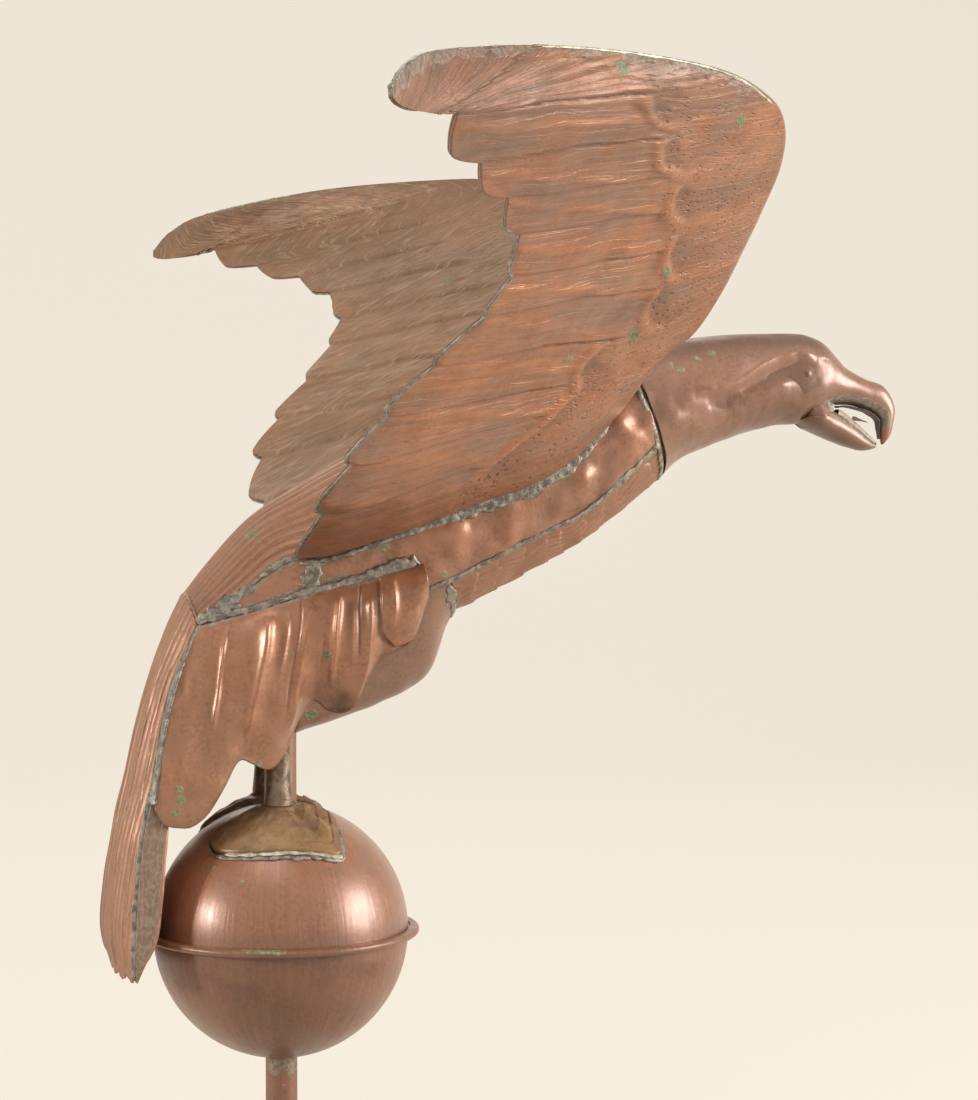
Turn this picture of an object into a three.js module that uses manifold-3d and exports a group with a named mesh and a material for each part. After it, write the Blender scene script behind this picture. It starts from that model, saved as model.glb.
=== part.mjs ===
// A hollow copper eagle weathervane: a spread-winged bird soldered up from stamped sheets,
// standing on a copper ball, on a tube that drops over a fixed iron spindle.
// Millimetres, +Z up, the bird faces +X. The origin is the centre of the spindle's flat foot.

import * as THREE from "three";
import { mergeVertices } from "three/addons/utils/BufferGeometryUtils.js";
import Module from "manifold-3d";

const wasm = await Module();
wasm.setup();

// Sheet and clearances
const copperWall = 1;
const ballWall = 1.1;
const seamGap = 0.35;
const rootGap = 0.55;
const lapGap = 0.7;
const fitGap = 0.3;
const cutOverrun = 3;

// Spindle, tube and bearing
const spindleExposed = 100;
const spindleRadius = 6.35;
const spindleChamfer = 1;
const tubeRadius = 9.525;
const tubeWall = 1.25;
const tubeBelowBall = 150;
const tubeAboveBall = 232;
const bushLength = 28;
const bushFlange = 2.5;
const plugLength = 34;
const pivotRadius = 4.76;
const pivotCupDepth = 2.6;
const plugPinRadius = 2;
const plugPinHead = 1;
const plugPinHeadRadius = 3.4;
const plugPinShare = 0.6;

// Ball
const ballRadius = 76.2;
const flangeWidth = 4.6;
const flangeThickness = 1;
const beadRadius = 2.15;
const beadWall = 0.7;

// Stand: the bird's belly above the ball
const standHeight = 41;
const legSpacing = 52;
const legSetback = 5;
const legRadius = 8.6;
const legTopRadius = 7;
const legRise = 42;
const footLength = 74;
const footAnkleHeight = 7;
const footToeHeight = 7;
const footRim = 2;
// Outline of the casting round its leg: ahead and out, in shares of its length
const footOutlineShares = [
  [0.46, -0.03],
  [0.47, 0.1],
  [0.45, 0.24],
  [0.42, 0.35],
  [0.2, 0.31],
  [0, 0.25],
  [-0.2, 0.18],
  [-0.38, 0.09],
  [-0.53, 0.02],
  [-0.55, -0.05],
  [-0.5, -0.1],
  [-0.3, -0.1],
  [-0.12, -0.13],
  [0.1, -0.15],
  [0.28, -0.14],
  [0.4, -0.12],
];
const toeRidgeShare = 0.3;
const toeRidges = 6;

// Torso, measured from the belly's lowest point, on the spin axis
const torsoLength = 291;
const rumpSetback = 57;
const torsoRise = 188;
const torsoBase = 43;
const torsoWidth = 88;
const bellyDrop = 44;

// Each row is a section of the torso from neck to rump: the place of its top and of its
// bottom along the body and up it, and its half width.
const torsoShares = [
  [0.893, 1.0, 1.0, 0.585, 0.443],
  [0.746, 0.926, 0.856, 0.408, 0.489],
  [0.567, 0.814, 0.722, 0.288, 0.5],
  [0.402, 0.697, 0.564, 0.164, 0.5],
  [0.247, 0.574, 0.395, 0.072, 0.489],
  [0.12, 0.442, 0.223, 0.011, 0.455],
  [0.0, 0.223, 0.038, 0.0, 0.409],
];
// Heights of the seams round the body, in degrees above its side, at even steps from neck to rump
const flankTopAngles = [26, 13, 4, 2, 6, 8, 10, 13, 21, 16, 12];
const flankFootAngles = [-27, -34, -40, -38, -37, -37, -36, -34, -30, -26, -22];
const wingRootEndShare = 0.757;
const breastEndShare = 0.505;
// How far the belly hangs below the torso, at even steps from its front to the rump
const bellyDropShares = [0, 0.68, 0.84, 0.88, 0.92, 0.95, 0.98, 1, 0.76, 0.44, 0.06];

// Head and beak, measured from the middle of the neck joint
const neckGap = 1.6;
const collarReach = 7;
const collarWall = 1.2;
const headLength = 167.5;
const headRise = 49;
const headWidth = 78;
const headSteps = 18;
// No wall is thicker than this share of a section's half width
const wallShare = 0.4;
// Rows: top along and up, bottom along and up, half width
const headShares = [
  [-0.09, 0.8, 0.093, -0.796, 0.5],
  [0.045, 0.88, 0.146, -0.62, 0.462],
  [0.16, 0.92, 0.224, -0.48, 0.42],
  [0.34, 0.98, 0.38, -0.286, 0.36],
  [0.516, 1.0, 0.516, -0.163, 0.325],
  [0.63, 0.99, 0.61, -0.138, 0.31],
  [0.71, 0.89, 0.672, -0.04, 0.27],
  [0.762, 0.72, 0.731, 0.08, 0.205],
  [0.803, 0.58, 0.808, 0.105, 0.15],
  [0.88, 0.44, 0.868, 0.063, 0.115],
  [0.958, 0.335, 0.916, 0.0, 0.09],
  [1.0, 0.085, 0.94, -0.09, 0.07],
  [0.995, -0.14, 0.943, -0.235, 0.056],
  [0.983, -0.285, 0.947, -0.34, 0.044],
  [0.96, -0.39, 0.951, -0.4, 0.022],
];
const jawShares = [
  [0.728, 0.052, 0.645, -0.2, 0.235],
  [0.777, 0.0, 0.735, -0.34, 0.17],
  [0.83, -0.13, 0.81, -0.435, 0.13],
  [0.882, -0.275, 0.874, -0.475, 0.09],
  [0.928, -0.4, 0.92, -0.45, 0.035],
];
const liningWall = 0.8;
const liningUpperShares = [
  [0.938, -0.33],
  [0.934, -0.235],
  [0.93, -0.1],
  [0.905, -0.022],
  [0.862, 0.038],
  [0.806, 0.078],
  [0.765, 0.068],
];
const liningLowerShares = [
  [0.765, 0.045],
  [0.784, 0.022],
  [0.835, -0.108],
  [0.887, -0.253],
  [0.93, -0.372],
];
const liningWidth = 15;
const liningWidthShares = [0.2, 0.36, 0.6, 0.75, 0.9, 1];
const tongueLength = 11;
const tongueRadius = 1.3;
const tongueTilt = 105;
const tonguePlaceShares = [0.838, -0.062];

// Wings. Rows run from root to tip: along, out and up from the shoulder for the leading edge,
// and from the root's rear end for the trailing edge.
const wingSweep = 247;
const wingSpan = 468;
const wingRise = 206;
const leadingShares = [
  [0, 0, 0],
  [0.012, 0.063, 0.068],
  [0.042, 0.093, 0.113],
  [0.079, 0.116, 0.153],
  [0.111, 0.168, 0.258],
  [0.131, 0.215, 0.362],
  [0.144, 0.268, 0.464],
  [0.144, 0.333, 0.565],
  [0.106, 0.407, 0.648],
  [0.029, 0.473, 0.704],
  [-0.148, 0.571, 0.74],
  [-0.492, 0.717, 0.728],
  [-0.767, 0.86, 0.67],
  [-0.893, 0.954, 0.612],
  [-0.962, 1.003, 0.57],
];
const trailingShares = [
  [0, 0, 0],
  [0.001, 0.167, 0.137],
  [0.029, 0.286, 0.27],
  [0.088, 0.338, 0.395],
  [0.175, 0.376, 0.521],
  [0.26, 0.436, 0.642],
  [0.3, 0.474, 0.737],
  [0.288, 0.538, 0.829],
  [0.223, 0.632, 0.897],
  [0.126, 0.739, 0.95],
  [0.027, 0.863, 1.023],
  [-0.036, 0.912, 1.005],
  [-0.084, 0.951, 1.001],
  [-0.118, 0.98, 1.008],
  [-0.134, 0.996, 1.023],
];
const featherLobe = 21;
// One share for each scalloped feather, from the root outwards; the outermost feather's round
// end is in the rows above
const featherLobeShares = [0.3, 0.45, 0.45, 0.35, 0.25, 0.22, 0.25, 0.5, 0.65, 1];
const lobePeakShare = 0.34;
const lobeSideShare = 0.7;
const roundLobeShare = 0.4;
const wingCamber = 11;
const wingBow = 7.7;
const wingThinningShare = 0.6;
const rootBlendShare = 0.24;

// Tail, measured from the end of the back panel. Rows: along, down. It hangs behind the ball:
// the share is how much of its set its closed side has at the ball's middle.
const tailBehindBall = 19.3;
const tailBehindShare = 0.77;
const tailLength = 226;
const tailWidth = 112;
const tailDepth = 15;
const tailTipLobe = 6;
const tailFeathers = 6;
const tailLobeStartShare = 0.9;
const tailBlendShare = 0.3;
const tailMiddleShares = [
  [0, 0],
  [-0.16, 0.075],
  [-0.36, 0.19],
  [-0.52, 0.31],
  [-0.68, 0.46],
  [-0.84, 0.62],
  [-0.94, 0.77],
  [-0.97, 0.86],
  [-0.93, 0.92],
  [-0.86, 0.95],
];
const tailEdgeShares = [
  [0.08, 0.08],
  [-0.04, 0.125],
  [-0.2, 0.205],
  [-0.33, 0.31],
  [-0.45, 0.46],
  [-0.6, 0.61],
  [-0.68, 0.76],
  [-0.71, 0.86],
  [-0.72, 0.915],
  [-0.72, 0.945],
];
const tailWidthShares = [0.63, 0.62, 0.63, 0.66, 0.72, 0.8, 0.88, 0.93, 0.97, 1];
const tailDepthShares = [0.3, 0.35, 0.45, 0.55, 0.7, 0.95, 1, 0.9, 0.55, 0.1];
const tailLowerStartShare = 0.2;
const tailFoldShare = 0.84;
const tailFlatShare = 0.25;

// Thighs hang from a seam on the flank. Rows from rear to front at even steps.
const thighDrop = 120;
const thighLean = 22;
const thighBulge = 10;
const thighSwellPower = 0.75;
const thighFluteDepth = 1.6;
const thighFlutes = 11;
const thighTopEndShare = 0.543;
const thighTopStartShare = 1;
const thighTopAngles = [12, 6, 0, -4, -6, -7, -9, -11, -13, -15, -17];
const thighDropShares = [
  0.883, 0.96, 0.99, 1, 0.95, 0.842, 0.745, 0.78, 0.83, 0.83, 0.77, 0.64, 0.558, 0.615, 0.645,
  0.615, 0.51, 0.405, 0.4, 0.345, 0.167,
];
const thighLeanShares = [
  -1.2, -1.15, -1.05, -0.95, -0.82, -0.73, -0.7, -0.65, -0.58, -0.56, -0.54, -0.5, -0.41, -0.37,
  -0.25, -0.22, -0.23, -0.2, -0.12, 0.05, 0.09,
];
// How far the lower edge turns in towards the leg
const thighTuck = 9;
const thighTuckShares = [-1.15, -1.05, -0.8, -0.2, 0.6, 1, 1, 0.7, 0.1, -0.3, -0.5];

// Steps of the meshes
const roundSteps = 32;
const smallRoundSteps = 20;
const wingChordSteps = [0, 0.1, 0.22, 0.36, 0.52, 0.68, 0.84, 1];

// Places that follow from the sizes
const tubeInner = tubeRadius - tubeWall;
const tubeBottom = spindleExposed + bushFlange + fitGap;
const ballCentre = tubeBottom + tubeBelowBall;
const tubeTop = ballCentre + tubeAboveBall;
const birdBase = ballCentre + ballRadius + standHeight;
const tailSet = (ballRadius + tailBehindBall - rumpSetback) / tailBehindShare;
const plugTop = tubeTop - plugPinHead;
const plugBottom = plugTop - plugLength;
const pivotCentre = plugBottom + pivotCupDepth - fitGap - pivotRadius;
const spindleTop = pivotCentre - pivotRadius - fitGap + pivotCupDepth;

const copper = { color: 0x9a5a3c, roughness: 0.42, metalness: 1 };
const copperLight = { color: 0xb4714a, roughness: 0.4, metalness: 1 };
const copperDark = { color: 0x7d4a36, roughness: 0.36, metalness: 1 };
const brassCast = { color: 0x8c7442, roughness: 0.55, metalness: 1 };
const lead = { color: 0x77776c, roughness: 0.6, metalness: 0.8 };
const iron = { color: 0x4a4642, roughness: 0.6, metalness: 1 };
const steel = { color: 0x9b9b98, roughness: 0.3, metalness: 1 };

// A place between the entries of a table, on a smooth curve through them
function along(table, t) {
  const last = table.length - 1;
  const x = Math.min(Math.max(t, 0), 1) * last;
  const i = Math.min(Math.floor(x), last - 1);
  const f = x - i;
  const at = (k) => table[Math.min(Math.max(k, 0), last)];
  const blend = (a, b, c, d) =>
    b + 0.5 * f * (c - a + f * (2 * a - 5 * b + 4 * c - d + f * (3 * (b - c) + d - a)));
  const [a, b, c, d] = [at(i - 1), at(i), at(i + 1), at(i + 2)];
  if (typeof b === "number") return blend(a, b, c, d);
  return b.map((_, k) => blend(a[k], b[k], c[k], d[k]));
}

function mix(a, b, t) {
  return a + (b - a) * t;
}

function smooth(t) {
  const x = Math.min(Math.max(t, 0), 1);
  return x * x * (3 - 2 * x);
}

function steps(count, from = 0, to = 1) {
  return Array.from({ length: count + 1 }, (_, i) => mix(from, to, i / count));
}

// The unit normal of a surface, from two short differences
function normalOf(surface, u, v) {
  const small = 1e-4;
  const du = surface(u + small, v).sub(surface(u - small, v));
  const dv = surface(u, v + small).sub(surface(u, v - small));
  return du.cross(dv).normalize();
}

// A closed solid between two grids of points over the same steps, walled round its edges.
// With wrap, the grid closes on itself across v.
function solidBetween(outer, inner, us, vs, wrap = false) {
  const points = [];
  for (const face of [outer, inner]) {
    for (const u of us) {
      for (const v of vs) points.push(face(u, v));
    }
  }
  const rows = us.length;
  const cols = vs.length;
  const index = [];
  const id = (layer, i, j) => layer * rows * cols + i * cols + (j % cols);
  const quad = (a, b, c, d) => index.push(a, b, c, a, c, d);
  const spans = wrap ? cols : cols - 1;
  for (let i = 0; i < rows - 1; i++) {
    for (let j = 0; j < spans; j++) {
      quad(id(0, i, j), id(0, i + 1, j), id(0, i + 1, j + 1), id(0, i, j + 1));
      quad(id(1, i, j), id(1, i, j + 1), id(1, i + 1, j + 1), id(1, i + 1, j));
    }
  }
  for (let j = 0; j < spans; j++) {
    quad(id(0, 0, j), id(0, 0, j + 1), id(1, 0, j + 1), id(1, 0, j));
    const end = rows - 1;
    quad(id(0, end, j + 1), id(0, end, j), id(1, end, j), id(1, end, j + 1));
  }
  for (let i = 0; i < rows - 1 && !wrap; i++) {
    quad(id(0, i + 1, 0), id(0, i, 0), id(1, i, 0), id(1, i + 1, 0));
    const side = cols - 1;
    quad(id(0, i, side), id(0, i + 1, side), id(1, i + 1, side), id(1, i, side));
  }
  const geometry = new THREE.BufferGeometry().setFromPoints(points);
  geometry.setIndex(index);
  return facingOut(geometry);
}

// A sheet of even thickness under a surface; side says which way the thickness goes
function sheet(surface, us, vs, side, wall = copperWall, wrap = false) {
  const inner = (u, v) => surface(u, v).addScaledVector(normalOf(surface, u, v), side * wall);
  return solidBetween(surface, inner, us, vs, wrap);
}

// Turns a closed mesh's faces outwards
function facingOut(geometry) {
  const place = geometry.getAttribute("position");
  const index = geometry.index.array;
  const [a, b, c] = [new THREE.Vector3(), new THREE.Vector3(), new THREE.Vector3()];
  let volume = 0;
  for (let i = 0; i < index.length; i += 3) {
    a.fromBufferAttribute(place, index[i]);
    b.fromBufferAttribute(place, index[i + 1]);
    c.fromBufferAttribute(place, index[i + 2]);
    volume += a.dot(b.cross(c));
  }
  if (volume < 0) {
    for (let i = 0; i < index.length; i += 3) {
      [index[i + 1], index[i + 2]] = [index[i + 2], index[i + 1]];
    }
  }
  geometry.computeVertexNormals();
  return geometry;
}

// A turned piece, its profile given as radius and height
function turned(profile, sides = smallRoundSteps) {
  const points = profile.map(([r, z]) => new THREE.Vector2(r, z));
  return facingOut(new THREE.LatheGeometry(points, sides).rotateX(Math.PI / 2));
}

function solidOf(geometry) {
  const bare = geometry.clone();
  bare.deleteAttribute("normal");
  bare.deleteAttribute("uv");
  const merged = mergeVertices(bare, 1e-4);
  return new wasm.Manifold(
    new wasm.Mesh({
      numProp: 3,
      vertProperties: merged.getAttribute("position").array,
      triVerts: new Uint32Array(merged.index.array),
    }),
  );
}

function geometryOf(solid) {
  const mesh = solid.getMesh();
  const geometry = new THREE.BufferGeometry();
  geometry.setAttribute("position", new THREE.BufferAttribute(mesh.vertProperties, 3));
  geometry.setIndex(new THREE.BufferAttribute(mesh.triVerts, 1));
  geometry.computeVertexNormals();
  return geometry;
}

function cut(geometry, tool) {
  return geometryOf(solidOf(geometry).subtract(solidOf(tool)));
}

function mirrored(geometry) {
  return facingOut(geometry.clone().scale(1, -1, 1));
}

const weathervane = new THREE.Group();
const bird = new THREE.Group();
bird.position.z = birdBase;
weathervane.add(bird);

function add(group, name, geometry, look) {
  const mesh = new THREE.Mesh(geometry, new THREE.MeshStandardMaterial(look));
  mesh.name = name;
  group.add(mesh);
}

// Adds a piece of the bird's right side and its mirror image on the left
function addPair(name, geometry, look) {
  add(bird, name + "_right", geometry, look);
  add(bird, name + "_left", mirrored(geometry), look);
}

// Torso: a point at share s from neck to rump and at an angle above the bird's right side.
// An angle past 90 degrees lies on the left side.
function torsoSection(s) {
  const [topX, topZ, footX, footZ, half] = along(torsoShares, s);
  return {
    top: new THREE.Vector2(topX * torsoLength - rumpSetback, topZ * torsoRise + torsoBase),
    foot: new THREE.Vector2(footX * torsoLength - rumpSetback, footZ * torsoRise + torsoBase),
    half: half * torsoWidth,
  };
}

// The same section drawn in by a wall, which is thinner where the section is small
function shrunk({ top, foot, half }, wall) {
  const tall = top.distanceTo(foot);
  const inset = Math.min(wall, half * wallShare, (tall * wallShare) / 2);
  const middle = top.clone().add(foot).multiplyScalar(0.5);
  const scale = 1 - (2 * inset) / tall;
  const drawIn = (end) => end.clone().sub(middle).multiplyScalar(scale).add(middle);
  return { top: drawIn(top), foot: drawIn(foot), half: half - inset };
}

function sectionPoint({ top, foot, half }, degrees) {
  const angle = THREE.MathUtils.degToRad(degrees);
  const up = (1 + Math.sin(angle)) / 2;
  return new THREE.Vector3(mix(foot.x, top.x, up), -half * Math.cos(angle), mix(foot.y, top.y, up));
}

function torso(s, degrees) {
  return sectionPoint(torsoSection(s), degrees);
}

function flankTop(s) {
  return along(flankTopAngles, s);
}

function flankFoot(s) {
  return along(flankFootAngles, s);
}

// The seams between the torso's sheets are opened by an angle as wide as the gap
const seamAngle = THREE.MathUtils.radToDeg(seamGap / (torsoWidth / 2));

function makeTorso() {
  const rows = wingChordSteps.map((v) => v * wingRootEndShare);
  rows.push(...steps(4, wingRootEndShare, 1).slice(1));
  const flank = (s, v) => torso(s, mix(flankFoot(s), flankTop(s), v));
  addPair("flank", sheet(flank, rows, steps(4), 1), copperLight);
  const back = (s, v) => {
    const low = flankTop(s) + seamAngle;
    return torso(s, mix(low, 180 - low, v));
  };
  add(bird, "back_panel", sheet(back, rows, steps(10), 1), copper);
  const breast = (s, v) => {
    const low = flankFoot(s) - seamAngle;
    return torso(s, mix(low, -180 - low, v));
  };
  const front = rows.filter((s) => s < breastEndShare);
  front.push(breastEndShare);
  add(bird, "breast_panel", sheet(breast, front, steps(10), -1), copper);
}

// The belly pouch carries on from the breast and lets the tube in at its lowest point
const bellyStartShare = breastEndShare + seamGap / torsoLength;

function belly(b, v) {
  const s = mix(bellyStartShare, 1, b);
  const low = flankFoot(s) - seamAngle;
  const point = torso(s, mix(low, -180 - low, v));
  point.z -= bellyDrop * along(bellyDropShares, b) * Math.sin(Math.PI * Math.min(Math.max(v, 0), 1));
  return point;
}

function makeBelly() {
  const rows = [0, 0.06, 0.12, 0.2, 0.3, 0.4, 0.52, 0.64, 0.76, 0.88, 1];
  const pouch = sheet(belly, rows, steps(10), -1);
  const hole = turned([
    [0, -bellyDrop],
    [tubeRadius + fitGap, -bellyDrop],
    [tubeRadius + fitGap, bellyDrop],
    [0, bellyDrop],
  ]);
  add(bird, "belly_panel", cut(pouch, hole), copperDark);
}

// Head: two stamped halves on the neck joint
const neck = torsoSection(0);
const neckMiddle = neck.top.clone().add(neck.foot).multiplyScalar(0.5);
const neckUp = neck.top.clone().sub(neck.foot).normalize();
const neckAhead = new THREE.Vector2(neckUp.y, -neckUp.x);

function headPlace([x, z]) {
  const point = new THREE.Vector2(x * headLength, z * headRise);
  return point.add(neckMiddle).addScaledVector(neckAhead, neckGap);
}

function headSection(table, h) {
  const [topX, topZ, footX, footZ, half] = along(table, h);
  return { top: headPlace([topX, topZ]), foot: headPlace([footX, footZ]), half: half * headWidth };
}

function makeHead() {
  const skin = (h, degrees) => sectionPoint(headSection(headShares, h), degrees);
  const inside = (h, degrees) => sectionPoint(shrunk(headSection(headShares, h), copperWall), degrees);
  const half = solidBetween(skin, inside, steps(headSteps), steps(8, -90, 90));
  addPair("head", half.translate(0, -seamGap / 2, 0), copperDark);
  const jaw = (h, degrees) => sectionPoint(headSection(jawShares, h), degrees);
  const core = (h, degrees) => sectionPoint(shrunk(headSection(jawShares, h), copperWall), degrees);
  const ring = steps(14, -90, 270).slice(0, -1);
  add(bird, "lower_beak", solidBetween(jaw, core, steps(6), ring, true), copperDark);
}

// The strips that close the edges of the open beak, and the tongue between them
function makeMouth() {
  const strip = (table, widths) => {
    const line = (t, v) => {
      const at = headPlace(along(table, t));
      return new THREE.Vector3(at.x, (v - 0.5) * liningWidth * along(widths, t), at.y);
    };
    return sheet(line, steps(8), steps(2), -1, liningWall);
  };
  add(bird, "palate_strip", strip(liningUpperShares, liningWidthShares), lead);
  add(bird, "jaw_strip", strip(liningLowerShares, [...liningWidthShares].reverse()), lead);
  const root = headPlace(tonguePlaceShares);
  const spike = turned(
    [
      [0, 0],
      [tongueRadius, 0],
      [tongueRadius / 2, tongueLength / 2],
      [0, tongueLength],
    ],
    8,
  );
  spike.rotateY(THREE.MathUtils.degToRad(tongueTilt)).translate(root.x, 0, root.y);
  add(bird, "tongue", spike, lead);
}

// A band inside the neck joint that both the head and the torso are soldered to
function makeCollar() {
  const band = (t, degrees) => {
    const reach = mix(-collarReach, collarReach, t);
    const onHead = headSection(headShares, Math.max(reach, 0) / headLength);
    const section = reach < 0 ? torsoSection(-reach / torsoLength) : onHead;
    return sectionPoint(shrunk(section, copperWall + 2 * fitGap), degrees);
  };
  const ring = steps(16, -90, 270).slice(0, -1);
  add(bird, "neck_collar", sheet(band, [0, 0.45, 0.55, 1], ring, -1, collarWall, true), lead);
}

// Wings: a mid surface between the leading and the trailing edge, with a thin lens of two
// sheets on it. Its root follows the seam on the body.
function rootPoint(v, lift) {
  const s = wingRootEndShare * v;
  const angle = flankTop(s) + THREE.MathUtils.radToDeg(lift / (torsoWidth / 2));
  const out = normalOf(torso, s, angle);
  const point = torso(s, angle);
  if (out.y * point.y < 0) out.negate();
  return point.addScaledVector(out, rootGap);
}

const shoulder = rootPoint(0, 0);
const wingRear = rootPoint(1, 0);

function edgePoint(start, table, t) {
  const [x, out, up] = along(table, t);
  return new THREE.Vector3(x * wingSweep, -out * wingSpan, up * wingRise).add(start);
}

function featherLobeAt(t) {
  const x = Math.max(t, 0) * (trailingShares.length - 1);
  const i = Math.floor(x);
  if (i >= featherLobeShares.length) return 0;
  const f = x - i;
  const bump = f < lobePeakShare ? f / lobePeakShare : (1 - f) / (1 - lobePeakShare);
  return featherLobe * featherLobeShares[i] * Math.sin((bump * Math.PI) / 2);
}

function wingSurface(t, v) {
  const front = edgePoint(shoulder, leadingShares, t);
  const rear = edgePoint(wingRear, trailingShares, t);
  const chord = front.distanceTo(rear);
  const w = v * (1 + featherLobeAt(t) / chord);
  const point = front.clone().lerp(rear, w);
  const fade = smooth(t / rootBlendShare) * Math.min(chord / wingSweep, 1) ** 2;
  const slope = rear.sub(front).normalize();
  const outward = new THREE.Vector3(slope.z, -1, -slope.x).normalize();
  return point.addScaledVector(outward, -wingCamber * 4 * w * (1 - Math.min(w, 1)) * fade);
}

// One face of the wing: lift is its height over the mid surface
function wingFace(t, v, lift) {
  const normal = normalOf(wingSurface, t, v);
  if (normal.y - normal.x < 0) normal.negate();
  const point = wingSurface(t, v).addScaledVector(normal, lift);
  const root = rootPoint(v, lift);
  const start = wingSurface(0, v);
  const rootNormal = normalOf(wingSurface, 0.001, v);
  if (rootNormal.y - rootNormal.x < 0) rootNormal.negate();
  start.addScaledVector(rootNormal, lift);
  const hold = 1 - smooth(t / rootBlendShare);
  return point.addScaledVector(root.sub(start), hold);
}

function makeWings() {
  const bow = (v) => wingBow * Math.sqrt(Math.max(v, 0)) * (1 - v);
  const lens = (t, v) => bow(v) * (1 - wingThinningShare * t) + seamGap / 2;
  const spans = trailingShares.length - 1;
  const us = [];
  for (let i = 0; i < spans; i++) {
    us.push(i / spans, (i + lobePeakShare) / spans);
    if (featherLobeShares[i] > roundLobeShare) us.push((i + lobeSideShare) / spans);
  }
  us.push(1);
  const vs = wingChordSteps;
  const upper = solidBetween(
    (t, v) => wingFace(t, v, lens(t, v) + copperWall),
    (t, v) => wingFace(t, v, lens(t, v)),
    us,
    vs,
  );
  const lower = solidBetween(
    (t, v) => wingFace(t, v, -lens(t, v) - copperWall),
    (t, v) => wingFace(t, v, -lens(t, v)),
    us,
    vs,
  );
  addPair("wing_upper", upper, copper);
  addPair("wing_lower", lower, copperLight);
}

// Tail: an arched upper sheet and a folded tray under it
const rump = torsoSection(1);

function tailPlace(shares) {
  return [rump.top.x + shares[0] * tailSet, rump.top.y - shares[1] * tailLength];
}

function tailScallop(t, q) {
  const lobe = Math.abs(Math.cos((q * tailFeathers * Math.PI) / 2));
  return tailTipLobe * Math.sqrt(lobe) * smooth((t - tailLobeStartShare) / (1 - tailLobeStartShare));
}

function tailSurface(t, q) {
  const middle = tailPlace(along(tailMiddleShares, t));
  const edge = tailPlace(along(tailEdgeShares, t));
  const bend = Math.pow(Math.abs(q), 2);
  const half = (along(tailWidthShares, t) * tailWidth) / 2;
  const flat = new THREE.Vector3(
    mix(middle[0], edge[0], bend),
    half * q,
    mix(middle[1], edge[1], bend),
  );
  const low = flankTop(1);
  const round = torso(1, mix(90, q < 0 ? low : 180 - low, Math.abs(q)));
  round.x += middle[0] - rump.top.x - seamGap;
  round.z += middle[1] - rump.top.y - seamGap;
  const point = round.lerp(flat, smooth(t / tailBlendShare));
  point.z -= tailScallop(t, q);
  return point;
}

function tailTray(t, q) {
  const reach = Math.min(Math.abs(q) / tailFoldShare, 1);
  const fold = Math.max((Math.abs(q) - tailFoldShare) / (1 - tailFoldShare), 0);
  const upper = tailSurface(t, Math.sign(q));
  const depth = tailDepth * along(tailDepthShares, t);
  const point = tailSurface(t, Math.sign(q) * reach);
  const arch = tailFlatShare * (1 - reach);
  point.x = mix(mix(upper.x, point.x, arch) + depth, upper.x + copperWall + fitGap, fold);
  point.z = mix(upper.z, point.z, arch);
  return point;
}

function makeTail() {
  add(bird, "tail_upper", sheet(tailSurface, steps(12), steps(12, -1, 1), -1), copper);
  const across = [...steps(8, -tailFoldShare, tailFoldShare)];
  const rows = steps(12, tailLowerStartShare, 1);
  add(bird, "tail_lower", sheet(tailTray, rows, [-1, ...across, 1], 1), copper);
}

// Thighs: fluted sheets hung on the flanks, with a lobed free edge
function thighSurface(u, v) {
  const s = mix(thighTopStartShare, thighTopEndShare, u);
  const angle = along(thighTopAngles, u);
  const out = normalOf(torso, s, angle);
  const point = torso(s, angle);
  if (out.y > 0) out.negate();
  point.addScaledVector(out, lapGap + copperWall);
  const fall = Math.min(Math.max(v, 0), 1);
  point.x += thighLean * along(thighLeanShares, u) * fall;
  point.z -= thighDrop * along(thighDropShares, u) * v;
  const swell = thighBulge * Math.sin(Math.PI * fall ** thighSwellPower);
  const flutes = thighFluteDepth * Math.cos(u * thighFlutes * 2 * Math.PI);
  point.y -= swell + flutes * Math.sin(Math.PI * Math.sqrt(fall));
  point.y += thighTuck * along(thighTuckShares, u) * fall * fall;
  return point;
}

function makeThighs() {
  const down = [0, 0.12, 0.3, 0.5, 0.7, 0.88, 1];
  addPair("thigh", sheet(thighSurface, steps(thighFlutes * 3), down, 1), copperLight);
}

// Legs and feet stand on the ball
const legStand = Math.sqrt(ballRadius ** 2 - (legSpacing / 2) ** 2 - legSetback ** 2);
const footTop = ballCentre + legStand + footAnkleHeight;
const bossRadius = legRadius + copperWall;

function footPoint(r, turn, top) {
  const [ahead, out] = along([...footOutlineShares, footOutlineShares[0]], turn);
  const x = r * ahead * footLength - legSetback;
  const y = -r * out * footLength - legSpacing / 2;
  const sole = Math.sqrt((ballRadius + fitGap) ** 2 - x ** 2 - y ** 2);
  if (!top) return new THREE.Vector3(x, y, ballCentre + sole);
  const toes = 1 + toeRidgeShare * Math.cos(2 * Math.PI * toeRidges * turn);
  const rise = footRim + footToeHeight * toes * Math.sqrt(Math.max(1 - r * r, 0));
  const clear = (r * Math.hypot(ahead, out) * footLength - bossRadius) / bossRadius;
  return new THREE.Vector3(x, y, mix(footTop, ballCentre + sole + rise, smooth(clear)));
}

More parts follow.
